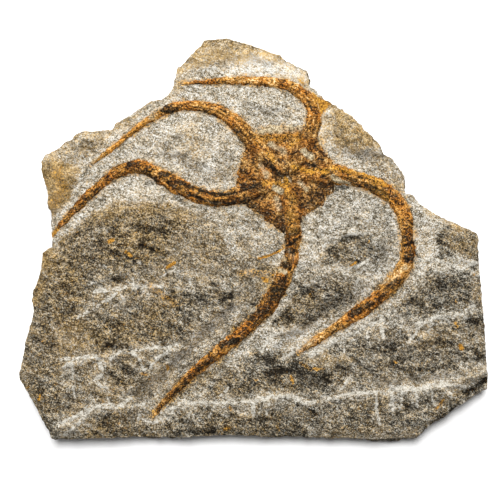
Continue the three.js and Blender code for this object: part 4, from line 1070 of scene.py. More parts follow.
@dataclass(frozen=True)
class Crust:
    """What every piece of the fossil has: the marks in its mineral, and its grains."""

    tone_fray: float = 0.45
    yellow_fray: float = 0.6
    pale_fray: float = 0.3
    roughness: Roughness = Roughness(0.7, 0.34, 70)

    def apply(self, piece: Object, x: Array, y: Array, tone: Array | float = 0) -> None:
        """Paints where the mineral is darker, brighter, yellow or pale, adds any painted shade given as tone,
        and roughens the piece.
        """
        paint(
            piece,
            tone=drawn(x, y, TONES, self.tone_fray) + tone,
            yellow=drawn(x, y, YELLOWS, self.yellow_fray),
            pale=drawn(x, y, PALES, self.pale_fray),
        )
        self.roughness.apply(piece)


@dataclass
class Arm:
    """One arm: a three-ridged band that tapers from the mouth to a whip-like tip.

    Lengths are in millimetres. Across the band, 0 is its keel and 1 either way its edges.
    """

    name: str
    seed: int
    ground: Ground
    crust: Crust = Crust()
    # The band: its mesh, its half width and how far its skirt and its under side lie across.
    step: float = 0.3
    spline_steps: int = 40
    top_points: int = 26
    full_half_width: float = 2.6
    skirt: float = 1.14
    under: float = 0.75
    # Its edges: the rounding of its ends, and how it bulges and frays.
    end_run: float = 1.6
    bulges: Layers = ((0.11, 3.1, 70),)
    bulge_skew: float = 0.5
    edge_fray: Layers = ((0.3, 0.9, 76), (0.3, 2.3, 77))
    edges_apart: float = 40
    fray_span: Span = (0.5, 1)
    # Its height: how far it stands up and is buried, and what the disc does to it.
    crest: float = 1.5
    buried: float = 0.9
    height_power: float = 0.6
    round_power: float = 2.6
    skirt_slope: float = 5
    disc_span: Span = (-2, 4)
    sunk_on_disc: float = 0.3
    disc_lift: float = 0.7
    lift_span: Span = (-7, 1)
    # Its ridges, and how much they weaken toward the tip and on the disc.
    ridge_depth: float = 0.42
    ridge_span: Span = (16.1, 46)
    ridge_loss: float = 0.75
    ridge_loss_on_disc: float = 0.7
    furrow_span: Span = (0.78, 0.98)
    # Its finest relief.
    fibres: Layers = ((0.16, 0.75, 82),)
    fibre_stretch: float = 2.6
    knots: Layers = ((0.2, 1.7, 88),)
    pimples: Layers = ((0.13, 0.85, 94),)
    # Its worn edge, and painted shade on the flank that faces down the slab, away from the lamps.
    worn_span: Span = (0.84, 1.1)
    worn_fray: Layers = ((0.12, 0.9, 95),)
    painted_shade_on_flank: float = -0.6
    painted_shade_loss_on_disc: float = 0.6
    rings: Array = field(init=False)

    def __post_init__(self) -> None:
        """Lays the rings along the route: x, y, half width and millimetres from the mouth."""
        self.rings = self._lay_rings(np.array(ROUTES[self.name]))

    def _lay_rings(self, route: Array) -> Array:
        """A centripetal spline through the route, read at even steps."""
        ends = (2 * route[0] - route[1], 2 * route[-1] - route[-2])
        knots = np.vstack([ends[0], route, ends[1]])
        samples = []
        share = np.linspace(0, 1, self.spline_steps, endpoint=False)[:, None]
        for p0, p1, p2, p3 in zip(knots, knots[1:], knots[2:], knots[3:]):
            d0, d1, d2 = (math.sqrt(np.linalg.norm(b - a)) for a, b in ((p0, p1), (p1, p2), (p2, p3)))
            leave = ((p1 - p0) / d0 - (p2 - p0) / (d0 + d1) + (p2 - p1) / d1) * d1
            arrive = ((p2 - p1) / d1 - (p3 - p1) / (d1 + d2) + (p3 - p2) / d2) * d1
            cubic = 2 * p1 - 2 * p2 + leave + arrive
            square = -3 * p1 + 3 * p2 - 2 * leave - arrive
            samples.append(p1 + leave * share + square * share**2 + cubic * share**3)
        line = np.vstack([*samples, route[-1:]])
        run = np.concatenate([[0], np.cumsum(np.hypot(*np.diff(line[:, :2], axis=0).T))])
        at = np.linspace(0, run[-1], round(run[-1] / self.step) + 1)
        return np.stack([*(np.interp(at, run, line[:, k]) for k in range(3)), at], axis=1)

    def _across(self, spot: Array) -> Array:
        """Where each spot round the band lies across it."""
        on_top = self.skirt * (2 * spot / self.top_points - 1)
        below = np.where(spot == self.top_points + 1, self.under, -self.under)
        return np.where(spot <= self.top_points, on_top, below)

    def _tangents(self) -> Array:
        """The band's direction at each ring."""
        tangents = np.gradient(self.rings[:, :2], axis=0)
        return tangents / np.linalg.norm(tangents, axis=1, keepdims=True)

    def _half_widths(self, across: Array, half: Array, run: Array, ending: Array) -> Array:
        """The band's half width at each spot, with its bulges and its frayed edges."""
        wide = half * ending * (1 + layered(run, across * self.bulge_skew, self.bulges, self.seed))
        ragged = layered(run, np.sign(across) * self.edges_apart, self.edge_fray, self.seed)
        return wide + ragged * smooth(*self.fray_span, np.abs(across)) * ending

    def _ridges(self, run: Array, on_disc: Array) -> Array:
        """How high the ridges stand over the furrows between them."""
        ridges = self.ridge_depth * (1 - self.ridge_loss * smooth(*self.ridge_span, run))
        return ridges * (1 - self.ridge_loss_on_disc * on_disc)

    def build(self) -> Object:
        """Rolls a grid into the arm's closed band and paints its marks."""
        last = len(self.rings) - 1
        around = self.top_points + 3
        piece = fresh_grid(f"{self.name}_fine", last, around)
        shares = points_of(piece)
        ring = np.rint(shares[:, 0] * last).astype(int)
        spot = np.rint(shares[:, 1] * around).astype(int) % around
        is_top = spot <= self.top_points
        across = self._across(spot)
        outer = np.abs(across)
        x, y, half, run = self.rings[ring].T
        tx, ty = self._tangents()[ring].T
        ending = np.sqrt(np.clip(np.minimum(run, self.rings[-1, 3] - run) / self.end_run, 0, 1))
        wide = self._half_widths(across, half, run, ending)
        px, py = x + across * wide * ty, y - across * wide * tx
        into_disc = depth_inside(x, y, DISC_OUTLINE)
        on_disc = smooth(*self.disc_span, into_disc)
        size = (half / self.full_half_width) ** self.height_power * ending * (1 - self.sunk_on_disc * on_disc)
        ridges = self._ridges(run, on_disc)
        furrow = (1 - np.cos(3 * np.pi * across)) / 2 * (1 - smooth(*self.furrow_span, outer))
        dome = np.where(outer < 1, 1 - outer**self.round_power, -self.skirt_slope * (outer - 1))
        fibres = layered(run / self.fibre_stretch, across * half, self.fibres, self.seed)
        knots = layered(run, across * half, self.knots, self.seed) + layered(px, py, self.pimples)
        pz = self.ground.height(px, py) + self.disc_lift * smooth(*self.lift_span, into_disc)
        pz += np.where(is_top, self.crest * size * (dome - ridges * furrow) + (fibres + knots) * ending,
                       -self.buried * size)
        put_points(piece, np.stack([px, py, pz], axis=1) * MM)
        paint(
            piece,
            run=run,
            across=across * half,
            body=on_disc,
            # Painted shade in the furrows between the ridges.
            furrow=furrow * ridges / self.ridge_depth,
            edge=smooth(*self.worn_span, outer + layered(px, py, self.worn_fray)) * (1 - on_disc),
        )
        # Painted shade: the flank that faces down the slab is darkened, less on the disc.
        painted_flank_shade = self.painted_shade_on_flank * smooth(0, 1, across * tx) * (1 - self.painted_shade_loss_on_disc * on_disc)
        self.crust.apply(piece, px, py, painted_flank_shade * half / self.full_half_width)
        return piece


@dataclass
class Disc:
    """The body disc: a low dome of webs between the arms, with a pit at the mouth.

    Lengths are in millimetres. Outward, 0 is the middle and 1 the margin.
    """

    ground: Ground
    crust: Crust = Crust()
    rings: int = 52
    spokes: int = 380
    skirt: float = 1.1
    under: float = 0.94
    margin_fray: Layers = ((0.035, 2.2, 40),)
    margin_fray_radius: float = 16
    # Its height: the dome, its margin and how far it is buried.
    dome: float = 0.95
    margin: float = 0.5
    buried: float = 1.3
    drop: float = 1.1
    drop_span: Span = (0.93, 1.1)
    drop_fray: Layers = ((0.04, 1.6, 41),)
    # The pit at the mouth, and the grooves beside the arms, with painted shade in the grooves.
    mouth_radius: float = 1.7
    mouth_depth: float = 0.6
    mouth_span: Span = (0.4, 1.6)
    groove_depth: float = 0.5
    groove_width: float = 0.9
    groove_span: Span = (0.8, 1)
    groove_painted_shade: float = 0.8
    # Its finest relief, and its worn edge.
    swells: Layers = ((0.3, 3.4, 42), (0.22, 1.5, 43), (0.14, 0.8, 44))
    ribs: Layers = ((1, 1, 45),)
    ribs_around: float = 9
    ribs_outward: float = 0.4
    rib_height: float = 0.16
    rib_span: Span = (0.1, 0.4)
    worn_span: Span = (0.92, 1.06)
    worn_fray: Layers = ((0.05, 1, 46),)

    def build(self) -> Object:
        """Rolls a grid up into a closed dome and paints its marks."""
        rows = self.rings + 2
        piece = fresh_grid("star_disc_fine", self.spokes, rows)
        shares = points_of(piece)
        turn = shares[:, 0] * 2 * np.pi
        row = np.rint(shares[:, 1] * rows).astype(int)
        is_top = row <= self.rings
        share = np.where(is_top, self.skirt * row / self.rings, np.where(row == rows, 0, self.under))
        outline = np.array(DISC_OUTLINE) - DISC_CENTRE
        angles = np.arctan2(outline[:, 1], outline[:, 0])
        reach = np.interp(turn, angles, np.hypot(*outline.T), period=2 * np.pi)
        fray_x, fray_y = np.cos(turn) * self.margin_fray_radius, np.sin(turn) * self.margin_fray_radius
        reach = reach * (1 + layered(fray_x, fray_y, self.margin_fray))
        x = DISC_CENTRE[0] + share * reach * np.cos(turn)
        y = DISC_CENTRE[1] + share * reach * np.sin(turn)
        arm_gap = distance_to_arms(x, y, ARM_ROOT_POINTS)
        groove = np.exp(-((np.maximum(arm_gap, 0) / self.groove_width) ** 2))
        dropped = smooth(*self.drop_span, share + layered(x, y, self.drop_fray))
        top = self.dome + (self.margin - self.dome) * share**2
        top -= self.drop * dropped * (1 + self.margin)
        top -= self.mouth_depth * (1 - smooth(*self.mouth_span, share * reach / self.mouth_radius))
        top -= self.groove_depth * groove * (1 - smooth(*self.groove_span, share))
        top += layered(x, y, self.swells)
        ribs = layered(turn * self.ribs_around, share * reach * self.ribs_outward, self.ribs)
        top += self.rib_height * ribs * smooth(*self.rib_span, share)
        z = self.ground.height(x, y) + np.where(is_top, top, -self.buried)
        put_points(piece, np.stack([x, y, z], axis=1) * MM)
        paint(
            piece,
            run=share * reach,
            across=turn * self.ribs_around,
            body=np.ones(len(x)),
            # Painted shade in the grooves beside the arms.
            furrow=self.groove_painted_shade * groove,
            edge=smooth(*self.worn_span, share + layered(x, y, self.worn_fray)),
        )
        self.crust.apply(piece, x, y)
        return piece


# ---------- finishes ----------
class Blend(Enum):
    """How one colour goes over another."""

    MIX = "MIX"
    MULTIPLY = "MULTIPLY"


@dataclass(frozen=True)
class Cloud:
    """Cloudy noise whose values from low to high are spread from start to end, and clamped there.

    detail and roughness are how many finer layers it has and how strong they are.
    """

    scale: float
    detail: float
    roughness: float
    low: float
    high: float
    start: float = 0
    end: float = 1


@dataclass(frozen=True)
class Lay:
    """How a pattern lies in the slab's plane: turned by degrees, and drawn out along and across that."""

    degrees: float
    along: float
    across: float = 1


@dataclass
class Bench:
    """Places and joins shader nodes in one node tree."""

    tree: Tree

    def add(self, kind: str, inputs: dict[str | int, Value] | None = None, **settings) -> bpy.types.Node:
        """Adds a node.

        Args:
            kind: the node's type, without ShaderNode, or a group's own end.
            inputs: what goes into its sockets, by name or number.
            settings: its other properties.
        """
        family = "Node" if kind in ("GroupInput", "GroupOutput") else "ShaderNode"
        node = self.tree.nodes.new(family + kind)
        for name, value in settings.items():
            setattr(node, name, value)
        for key, value in (inputs or {}).items():
            if isinstance(value, Socket):
                self.tree.links.new(value, node.inputs[key])
            else:
                node.inputs[key].default_value = value
        return node

    def math(self, operation: str, a: Value, b: Value = 0.0, clamp: bool = False) -> Socket:
        """Arithmetic on two numbers."""
        return self.add("Math", {0: a, 1: b}, operation=operation, use_clamp=clamp).outputs[0]

    def product(self, a: Value, b: Value, clamp: bool = False) -> Socket:
        """Two numbers multiplied."""
        return self.math("MULTIPLY", a, b, clamp)

    def total(self, *parts: tuple[Value, float], clamp: bool = False) -> Socket:
        """The sum of numbers, each times its weight."""
        weighed = [value if weight == 1 else self.product(value, weight) for value, weight in parts]
        total = weighed[0]
        for number, part in enumerate(weighed[1:], 2):
            total = self.math("ADD", total, part, clamp and number == len(weighed))
        return total

    def weighed(self, values: tuple[Socket, ...], shares: Shares) -> Socket:
        """The sum of numbers, each times its share."""
        return self.total(*zip(values, shares))

    def swing(self, value: Value, middle: float = 0.5) -> Socket:
        """How far a number is above or below its middle."""
        return self.math("SUBTRACT", value, middle)

    def between(self, share: Value, low: Value, high: Value) -> Socket:
        """A number that goes from low to high with the share."""
        return self.add("Mix", {"Factor": share, "A": low, "B": high}).outputs["Result"]

    def mix(self, share: Value, under: Value, over: Value, blend: Blend = Blend.MIX) -> Socket:
        """One colour over another."""
        inputs = {"Factor": share, 6: under, 7: over}
        return self.add("Mix", inputs, data_type="RGBA", blend_type=blend.value).outputs[2]

    def spread(self, value: Value, low: float, high: float, start: float = 0.0, end: float = 1.0) -> Socket:
        """Maps low to high onto start to end, and clamps there."""
        inputs = {"Value": value, "From Min": low, "From Max": high, "To Min": start, "To Max": end}
        return self.add("MapRange", inputs, clamp=True).outputs["Result"]

    def noise(self, place: Socket, scale: float, detail: float, roughness: float) -> Socket:
        """Cloudy noise from 0 to 1."""
        inputs = {"Vector": place, "Scale": scale, "Detail": detail, "Roughness": roughness}
        return self.add("TexNoise", inputs).outputs["Fac"]

    def cloud(self, place: Socket, cloud: Cloud) -> Socket:
        """The values of a cloud at a place."""
        noise = self.noise(place, cloud.scale, cloud.detail, cloud.roughness)
        return self.spread(noise, cloud.low, cloud.high, cloud.start, cloud.end)

    def cells(self, place: Socket, scale: float) -> tuple[Socket, Sockets]:
        """Irregular cells: the distance from each one's middle, and random numbers that each one holds."""
        cells = self.add("TexVoronoi", {"Vector": place, "Scale": scale}, feature="F1").outputs
        return cells["Distance"], self.add("SeparateColor", {"Color": cells["Color"]}).outputs

    def ramp(self, value: Socket, stops: Ramp) -> Socket:
        """A colour for each value."""
        node = self.add("ValToRGB", {"Fac": value})
        colours = node.color_ramp.elements
        while len(colours) < len(stops):
            colours.new(1)
        for element, (place, colour) in zip(colours, stops):
            element.position = place
            element.color = (*colour, 1)
        return node.outputs["Color"]

    def read(self, name: str) -> Socket:
        """A number that was painted on the piece's vertices."""
        return self.add("Attribute", attribute_name=name).outputs["Fac"]

    def stretch(self, place: Value, lay: Lay) -> Socket:
        """Places whose pattern lies in the plane as given."""
        turn, scale = (0, 0, math.radians(lay.degrees)), (lay.along, lay.across, lay.across)
        inputs = {"Vector": place, "Rotation": turn, "Scale": scale}
        return self.add("Mapping", inputs, vector_type="TEXTURE").outputs["Vector"]

    def scaled(self, place: Value, scale: tuple[float, float, float]) -> Socket:
        """Places scaled along each axis."""
        return self.add("Mapping", {"Vector": place, "Scale": scale}).outputs["Vector"]

    def place(self) -> Socket:
        """The place on the piece, in millimetres."""
        return self.scaled(self.add("TexCoord").outputs["Object"], (1 / MM, 1 / MM, 1 / MM))


@dataclass(frozen=True)
class Grain:
    """The stone's grain, shared by every finish: sand grains, clumps of them and the height they give."""

    lay: Lay = Lay(-12, 1.7)
    cloud: Cloud = Cloud(0.42, 2, 0.65, 0.3, 0.7)
    clump: Cloud = Cloud(0.13, 2, 0.6, 0.32, 0.68)
    patches: Cloud = Cloud(0.3, 2, 0.6, 0.3, 0.7)
    speckle_shares: Shares = (0.65, 0.35)
    hue_shares: Shares = (0.6, 0.4)
    height_shares: Shares = (0.35, 0.65, -0.5)
    pore_scale: float = 0.3
    pore_limits: Range = (0.14, 0.26, 1, 0)
    pore_chance: Range = (0.35, 0.75)

    def group(self) -> Tree:
        """Builds the grain.

        Returns:
            A group with Place and Size in, and Speckle, Hue, Clump, Pores and Height out, each from 0 to 1.
        """
        group = bpy.data.node_groups.new("stone_grain", "ShaderNodeTree")
        group.interface.new_socket("Place", in_out="INPUT", socket_type="NodeSocketVector")
        group.interface.new_socket("Size", in_out="INPUT", socket_type="NodeSocketFloat")
        for name in ("Speckle", "Hue", "Clump", "Pores", "Height"):
            group.interface.new_socket(name, in_out="OUTPUT", socket_type="NodeSocketFloat")
        bench = Bench(group)
        given = bench.add("GroupInput").outputs
        size = bench.add("CombineXYZ", {axis: given["Size"] for axis in "XYZ"}).outputs[0]
        place = bench.add("VectorMath", {0: given["Place"], 1: size}, operation="DIVIDE").outputs[0]
        drawn_out = bench.stretch(place, self.lay)
        from_middle, shades = bench.cells(place, 1.0)
        cloud = bench.cloud(drawn_out, self.cloud)
        from_hole, chances = bench.cells(place, self.pore_scale)
        chance = bench.spread(chances["Red"], *self.pore_chance)
        pores = bench.product(bench.spread(from_hole, *self.pore_limits), chance)
        dome = bench.math("SUBTRACT", 1.0, from_middle, clamp=True)
        patchy = bench.cloud(place, self.patches)
        bench.add("GroupOutput", {
            "Speckle": bench.weighed((shades["Red"], cloud), self.speckle_shares),
            "Hue": bench.weighed((shades["Green"], patchy), self.hue_shares),
            "Clump": bench.cloud(drawn_out, self.clump),
            "Pores": pores,
            "Height": bench.weighed((dome, cloud, pores), self.height_shares),
        })
        return group


@dataclass(frozen=True)
class Finish:
    """What every finish has: its grain's size and its relief in millimetres, and its surface."""

    name: str
    grain: float
    bump: float
    roughness: float
    shine: float

    def material(self, grain: Tree) -> Material:
        """Builds the material round the shared grain."""
        made = bpy.data.materials.new(self.name)
        made.use_nodes = True
        made.node_tree.nodes.clear()
        bench = Bench(made.node_tree)
        place = bench.place()
        grains = bench.add("Group", {"Place": place, "Size": self.grain}, node_tree=grain).outputs
        colour, height = self.surface(bench, place, grains)
        bump = bench.add("Bump", {"Height": height, "Distance": self.bump * MM, "Strength": 1.0})
        shader = bench.add("BsdfPrincipled", {
            "Base Color": colour, "Roughness": self.roughness, "Specular IOR Level": self.shine,
            "Normal": bump.outputs[0],
        })
        bench.add("OutputMaterial", {"Surface": shader.outputs[0]})
        return made

    def surface(self, bench: Bench, place: Socket, grains: Sockets) -> tuple[Socket, Socket]:
        """The colour and the height of the surface."""
        raise NotImplementedError


@dataclass(frozen=True)
class StoneFinish(Finish):
    """Grey, tan-weathering sandstone."""

    name: str = "sandstone"
    grain: float = 0.27
    bump: float = 0.22
    roughness: float = 0.92
    shine: float = 0.1
    # Colours by tone: old ground, cleaned ground, rust by speckle, and the bruises' powder by speckle.
    old: Ramp = (
        (0.0, (0.006, 0.005, 0.0035)), (0.28, (0.024, 0.021, 0.016)), (0.5, (0.077, 0.071, 0.058)),
        (0.74, (0.17, 0.16, 0.132)), (1.0, (0.36, 0.345, 0.3)),
    )
    cleaned: Ramp = (
        (0.0, (0.05, 0.04, 0.024)), (0.26, (0.155, 0.13, 0.088)), (0.5, (0.295, 0.266, 0.21)),
        (0.75, (0.42, 0.4, 0.35)), (1.0, (0.58, 0.575, 0.55)),
    )
    rust: Ramp = ((0.0, (0.025, 0.01, 0.003)), (0.5, (0.25, 0.11, 0.015)), (1.0, (0.62, 0.35, 0.06)))
    powder: Ramp = ((0.0, (0.13, 0.12, 0.1)), (0.4, (0.35, 0.33, 0.28)), (1.0, (0.63, 0.61, 0.56)))
    # Layers: laminae on the face and beds on the sides.
    laminae_lay: Lay = Lay(-24, 3, 0.9)
    laminae: Cloud = Cloud(0.62, 3, 0.65, 0.34, 0.66)
    bed_scale: tuple[float, float, float] = (0.12, 0.12, 1.1)
    beds: Cloud = Cloud(0.55, 3, 0.6, 0.35, 0.65)
    height_shares: Shares = (0.7, 0.3)
    # Tone: shares of speckle, clump and layers, then how sand, the palest ground, pits and pores change it.
    tone_shares: Shares = (0.76, 0.12, 0.18)
    tone_range: Range = (0.275, 0.785)
    sandy_share: float = 0.6
    sandy_tone: float = 0.95
    beyond_share: float = 0.6
    pits_lay: Lay = Lay(-18, 1.6)
    pits: Cloud = Cloud(0.62, 2, 0.55, 0.56, 0.68)
    pit_depth_by_light: Range = (0.2, 0.9, 0.3, 0.05)
    pore_share: float = -0.32
    clump_share_of_light: float = 0.25
    # Tan: its colour over the base, where it gathers, and how much the grains' hue varies it.
    ochre: Value = (1.03, 0.74, 0.36, 1)
    blotches: Cloud = Cloud(0.35, 3, 0.6, 0.3, 0.7, -0.2, 0.2)
    motley: float = 1.3
    # Rusty flecks, and rust in the stained places.
    flecks: Cloud = Cloud(1.15, 1, 0.5, 0.66, 0.74)
    fleck_share: float = 0.7
    stain_fray: float = 0.9
    stain_range: Range = (0.3, 0.75)
    stain_onset: Range = (0.02, 0.2)
    # Chalky powder on the bruises, and in the cracks round them.
    cracks: tuple[float, float, float] = (0.36, 4, 0.6)
    crack_range: Range = (0, 0.022, 1, 0)
    crack_share: float = 0.8
    powder_cloud: Cloud = Cloud(0.8, 3, 0.75, 0.4, 0.6, 0.15, 1.6)
    powder_range: Range = (0.2, 0.64)
    powder_share: float = 0.9

    def surface(self, bench: Bench, place: Socket, grains: Sockets) -> tuple[Socket, Socket]:
        """The stone's colour and height."""
        light, warmth, side = (bench.read(name) for name in ("light", "warmth", "side"))
        speckle, clump = grains["Speckle"], grains["Clump"]
        laminae = bench.cloud(bench.stretch(place, self.laminae_lay), self.laminae)
        layers = bench.between(side, laminae, bench.cloud(bench.scaled(place, self.bed_scale), self.beds))
        tone = self._tone(bench, place, grains, layers, light, warmth)
        lit = bench.total((light, 1), (bench.swing(clump), self.clump_share_of_light))
        base = bench.mix(bench.spread(lit, 0, 1), bench.ramp(tone, self.old), bench.ramp(tone, self.cleaned))
        blotches = bench.cloud(place, self.blotches)
        motley = bench.swing(grains["Hue"])
        tan = bench.total((warmth, 1), (blotches, 1), (motley, self.motley), clamp=True)
        base = bench.mix(tan, base, self.ochre, Blend.MULTIPLY)
        rust = bench.ramp(speckle, self.rust)
        warm_share = bench.product(warmth, self.fleck_share)
        base = bench.mix(bench.product(bench.cloud(place, self.flecks), warm_share, clamp=True), base, rust)
        base = bench.mix(self._powdered(bench, place), base, bench.ramp(speckle, self.powder))
        base = bench.mix(self._stained(bench, speckle), base, rust)
        return base, bench.weighed((grains["Height"], layers), self.height_shares)

    def _tone(self, bench: Bench, place: Socket, grains: Sockets, layers: Socket,
              light: Socket, warmth: Socket) -> Socket:
        """How bright each grain is on its ground's ramp."""
        tone = bench.weighed((grains["Speckle"], grains["Clump"], layers), self.tone_shares)
        sandy = bench.product(bench.product(warmth, light, clamp=True), self.sandy_share)
        tone = bench.between(sandy, bench.spread(tone, *self.tone_range), self.sandy_tone)
        beyond = bench.math("SUBTRACT", light, bench.math("ADD", light, 0.0, clamp=True))
        tone = bench.total((tone, 1), (beyond, self.beyond_share), clamp=True)
        pits = bench.cloud(bench.stretch(place, self.pits_lay), self.pits)
        pitted = bench.product(pits, bench.spread(light, *self.pit_depth_by_light))
        return bench.total((tone, 1), (pitted, -1), (grains["Pores"], self.pore_share), clamp=True)

    def _powdered(self, bench: Bench, place: Socket) -> Socket:
        """How much powder lies on the bruises and in the cracks round them."""
        cracks = bench.math("ABSOLUTE", bench.swing(bench.noise(place, *self.cracks)))
        cracks = bench.product(bench.spread(cracks, *self.crack_range), bench.read("haze"))
        powder = bench.product(bench.read("bruise"), bench.cloud(place, self.powder_cloud))
        powder = bench.math("MAXIMUM", powder, bench.product(cracks, self.crack_share))
        return bench.product(bench.spread(powder, *self.powder_range), self.powder_share)

    def _stained(self, bench: Bench, speckle: Socket) -> Socket:
        """How much rust stains the stone."""
        stain = bench.read("stain")
        frayed = bench.total((stain, 1), (bench.swing(speckle), self.stain_fray))
        return bench.product(bench.spread(frayed, *self.stain_range), bench.spread(stain, *self.stain_onset))


@dataclass(frozen=True)
class MineralFinish(Finish):
    """The fossil's rusty iron mineral, fibrous along the arms and browner on the disc."""

    name: str = "rusty_mineral"
    grain: float = 0.32
    bump: float = 0.24
    roughness: float = 0.82
    shine: float = 0.12
    # Colours by tone: the arms, the disc, and the stone where it shows through.
    arm: Ramp = (
        (0.0, (0.007, 0.004, 0.001)), (0.2, (0.052, 0.024, 0.005)), (0.45, (0.22, 0.1, 0.019)),
        (0.65, (0.42, 0.2, 0.034)), (0.85, (0.58, 0.34, 0.11)), (1.0, (0.74, 0.56, 0.31)),
    )
    disc: Ramp = (
        (0.0, (0.007, 0.004, 0.001)), (0.2, (0.043, 0.019, 0.004)), (0.45, (0.152, 0.07, 0.015)),
        (0.65, (0.3, 0.15, 0.036)), (0.85, (0.47, 0.275, 0.09)), (1.0, (0.64, 0.46, 0.21)),
    )
    stone: Ramp = (
        (0.0, (0.04, 0.026, 0.012)), (0.3, (0.16, 0.118, 0.062)), (0.6, (0.37, 0.295, 0.175)),
        (1.0, (0.62, 0.56, 0.43)),
    )
    # Tone: shares of speckle, fibres, clump and mottle, then how drawn tones with painted flank shade,
    # painted shade in furrows and grooves, and pores change it.
    run_scale: float = 0.28
    fibres: Cloud = Cloud(1.5, 3, 0.65, 0.32, 0.68)
    mottle: Cloud = Cloud(0.38, 3, 0.6, 0.32, 0.68)
    tone_shares: Shares = (0.64, 0.1, 0.09, 0.23)
    tone_range: Range = (0.25, 0.82)
    drawn_share: float = 0.24
    furrow_painted_shade: float = -0.2
    pore_share: float = -0.34
    height_shares: Shares = (0.65, 0.35)
    # Reddened and yellow places.
    sienna: Value = (1, 0.78, 0.5, 1)
    reddened: Cloud = Cloud(0.22, 2, 0.6, 0.42, 0.6)
    yellow: Value = (0.56, 0.275, 0.03, 1)
    yellow_by_speckle: Range = (0.3, 0.6, 0, 0.75)
    # Bare places, scattered sand grains and the worn edge, where the stone shows.
    bare_fray: float = 0.7
    bare_range: Range = (0.1, 0.75)
    bare_onset: Range = (0.02, 0.2)
    sand_by_hue: Range = (0.62, 0.8)
    sand_share: float = 0.22
    tatter: Cloud = Cloud(1.1, 2, 0.6, 0.3, 0.7)
    tatter_share: float = 0.8
    worn_range: Range = (0.6, 0.85)
    worn_share: float = 0.85

    def surface(self, bench: Bench, place: Socket, grains: Sockets) -> tuple[Socket, Socket]:
        """The mineral's colour and height."""
        speckle = grains["Speckle"]
        lengthwise = {"X": bench.product(bench.read("run"), self.run_scale), "Y": bench.read("across")}
        fibres = bench.cloud(bench.add("CombineXYZ", lengthwise).outputs[0], self.fibres)
        mottle = bench.cloud(place, self.mottle)
        tone = bench.weighed((speckle, fibres, grains["Clump"], mottle), self.tone_shares)
        # Painted shade comes in with the tone mark on the arms' flanks and the furrow mark in furrows and
        # grooves.
        tone = bench.total(
            (bench.spread(tone, *self.tone_range), 1), (bench.read("tone"), self.drawn_share),
            (bench.read("furrow"), self.furrow_painted_shade), (grains["Pores"], self.pore_share), clamp=True,
        )
        colour = bench.mix(bench.read("body"), bench.ramp(tone, self.arm), bench.ramp(tone, self.disc))
        colour = bench.mix(bench.cloud(place, self.reddened), colour, self.sienna, Blend.MULTIPLY)
        yellow = bench.spread(speckle, *self.yellow_by_speckle)
        colour = bench.mix(bench.product(bench.read("yellow"), yellow, clamp=True), colour, self.yellow)
        stone = bench.ramp(speckle, self.stone)
        sandy = bench.product(bench.spread(grains["Hue"], *self.sand_by_hue), self.sand_share)
        colour = bench.mix(bench.math("MAXIMUM", self._bare(bench, mottle), sandy), colour, stone)
        colour = bench.mix(self._worn(bench, place, speckle), colour, stone)
        return colour, bench.weighed((grains["Height"], fibres), self.height_shares)

    def _bare(self, bench: Bench, mottle: Socket) -> Socket:
        """How bare of mineral the pale places are."""
        pale = bench.read("pale")
        bare = bench.total((pale, 1), (bench.swing(mottle), self.bare_fray))
        return bench.product(bench.spread(bare, *self.bare_range), bench.spread(pale, *self.bare_onset))

    def _worn(self, bench: Bench, place: Socket, speckle: Socket) -> Socket:
        """How worn the mineral's tattered edge is."""
        tatter = bench.total((speckle, 1), (bench.cloud(place, self.tatter), 1))
        frayed = bench.total((bench.read("edge"), 1), (bench.swing(tatter, 1), self.tatter_share))
        return bench.product(bench.spread(frayed, *self.worn_range), self.worn_share)


# ---------- studio ----------
@dataclass(frozen=True)
class Lamp:
    """A square soft box that faces the slab. Its place and its size are in metres, its power in watts."""

    name: str
    place: tuple[float, float, float]
    size: float
    power: float
    colour: Colour = (1, 1, 1)

    def hang(self) -> None:
        """Hangs the lamp."""
        bpy.ops.object.light_add(type="AREA", location=self.place)
        light = bpy.context.object
        light.name = self.name
        light.data.size = self.size
        light.data.energy = self.power
        light.data.color = self.colour
        light.rotation_mode = "QUATERNION"
        light.rotation_quaternion = light.location.to_track_quat("Z", "Y")


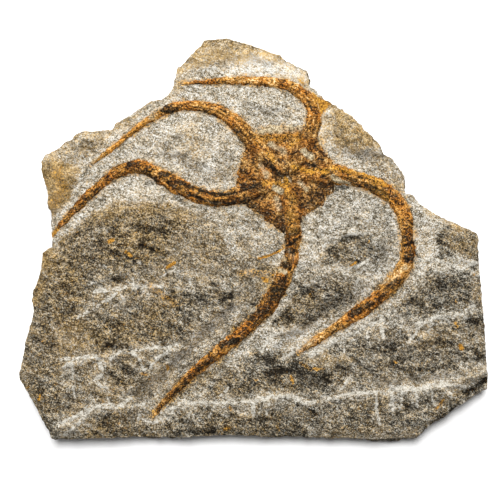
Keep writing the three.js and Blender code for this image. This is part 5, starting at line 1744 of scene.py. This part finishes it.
@dataclass(frozen=True)
class Studio:
    """A pale floor, soft light and a camera straight above the face.

    view_width, view_centre, face_height, lens and sensor are in millimetres, the floor's size in metres.
    """

    view_width: float = 160
    view_centre: Point = (-1.07, -2.8)
    face_height: float = 17
    lens: float = 120
    sensor: float = 36
    nearest: float = 0.01
    floor_size: float = 3
    floor_colour: Value = (0.96, 0.96, 0.96, 1)
    floor_roughness: float = 0.9
    sky_colour: Value = (1, 1, 1, 1)
    sky_light: float = 0.17
    lamps: tuple[Lamp, ...] = (
        Lamp("side", (-0.06, 0.78, 0.6), 0.3, 11, (1, 0.985, 0.96)),
        Lamp("top", (-0.03, 0.16, 1.0), 0.17, 10.4),
    )

    def build(self) -> None:
        """Sets the floor, the light and the camera."""
        self._lay_floor()
        self._set_sky()
        for lamp in self.lamps:
            lamp.hang()
        self._place_camera()

    def _lay_floor(self) -> None:
        """Lays the floor at the slab's back, in a pale matte paint."""
        bpy.ops.object.select_all(action="DESELECT")
        bpy.ops.mesh.primitive_plane_add(size=self.floor_size)
        floor = bpy.context.object
        floor.name = "floor"
        coat = bpy.data.materials.new("pale_floor")
        coat.use_nodes = True
        shader = coat.node_tree.nodes["Principled BSDF"]
        shader.inputs["Base Color"].default_value = self.floor_colour
        shader.inputs["Roughness"].default_value = self.floor_roughness
        floor.data.materials.append(coat)

    def _set_sky(self) -> None:
        """Sets the even light from all round."""
        world = bpy.data.worlds.new("studio")
        bpy.context.scene.world = world
        world.use_nodes = True
        sky = world.node_tree.nodes["Background"]
        sky.inputs["Color"].default_value = self.sky_colour
        sky.inputs["Strength"].default_value = self.sky_light

    def _place_camera(self) -> None:
        """Looks straight down, with the slab's peak at the top."""
        height = self.view_width * self.lens / self.sensor + self.face_height
        x, y = self.view_centre
        bpy.ops.object.camera_add(location=(x * MM, y * MM, height * MM), rotation=(0, 0, 0))
        camera = bpy.context.object
        camera.data.lens = self.lens
        camera.data.sensor_width = self.sensor
        camera.data.clip_start = self.nearest
        bpy.context.scene.camera = camera
        bpy.context.scene.view_settings.view_transform = "Standard"


def main() -> None:
    """Builds the slab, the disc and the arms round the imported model, and the studio round them."""
    logging.basicConfig(level=logging.INFO, format="%(message)s")
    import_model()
    ground = Ground()
    grain = Grain().group()
    mineral = MineralFinish().material(grain)
    hand_over(Slab(ground).build(), "stone_slab", StoneFinish().material(grain))
    hand_over(Disc(ground).build(), "star_disc", mineral)
    for seed, name in enumerate(ROUTES):
        hand_over(Arm(name, seed, ground).build(), name, mineral)
    Studio().build()


if __name__ == "__main__":
    main()
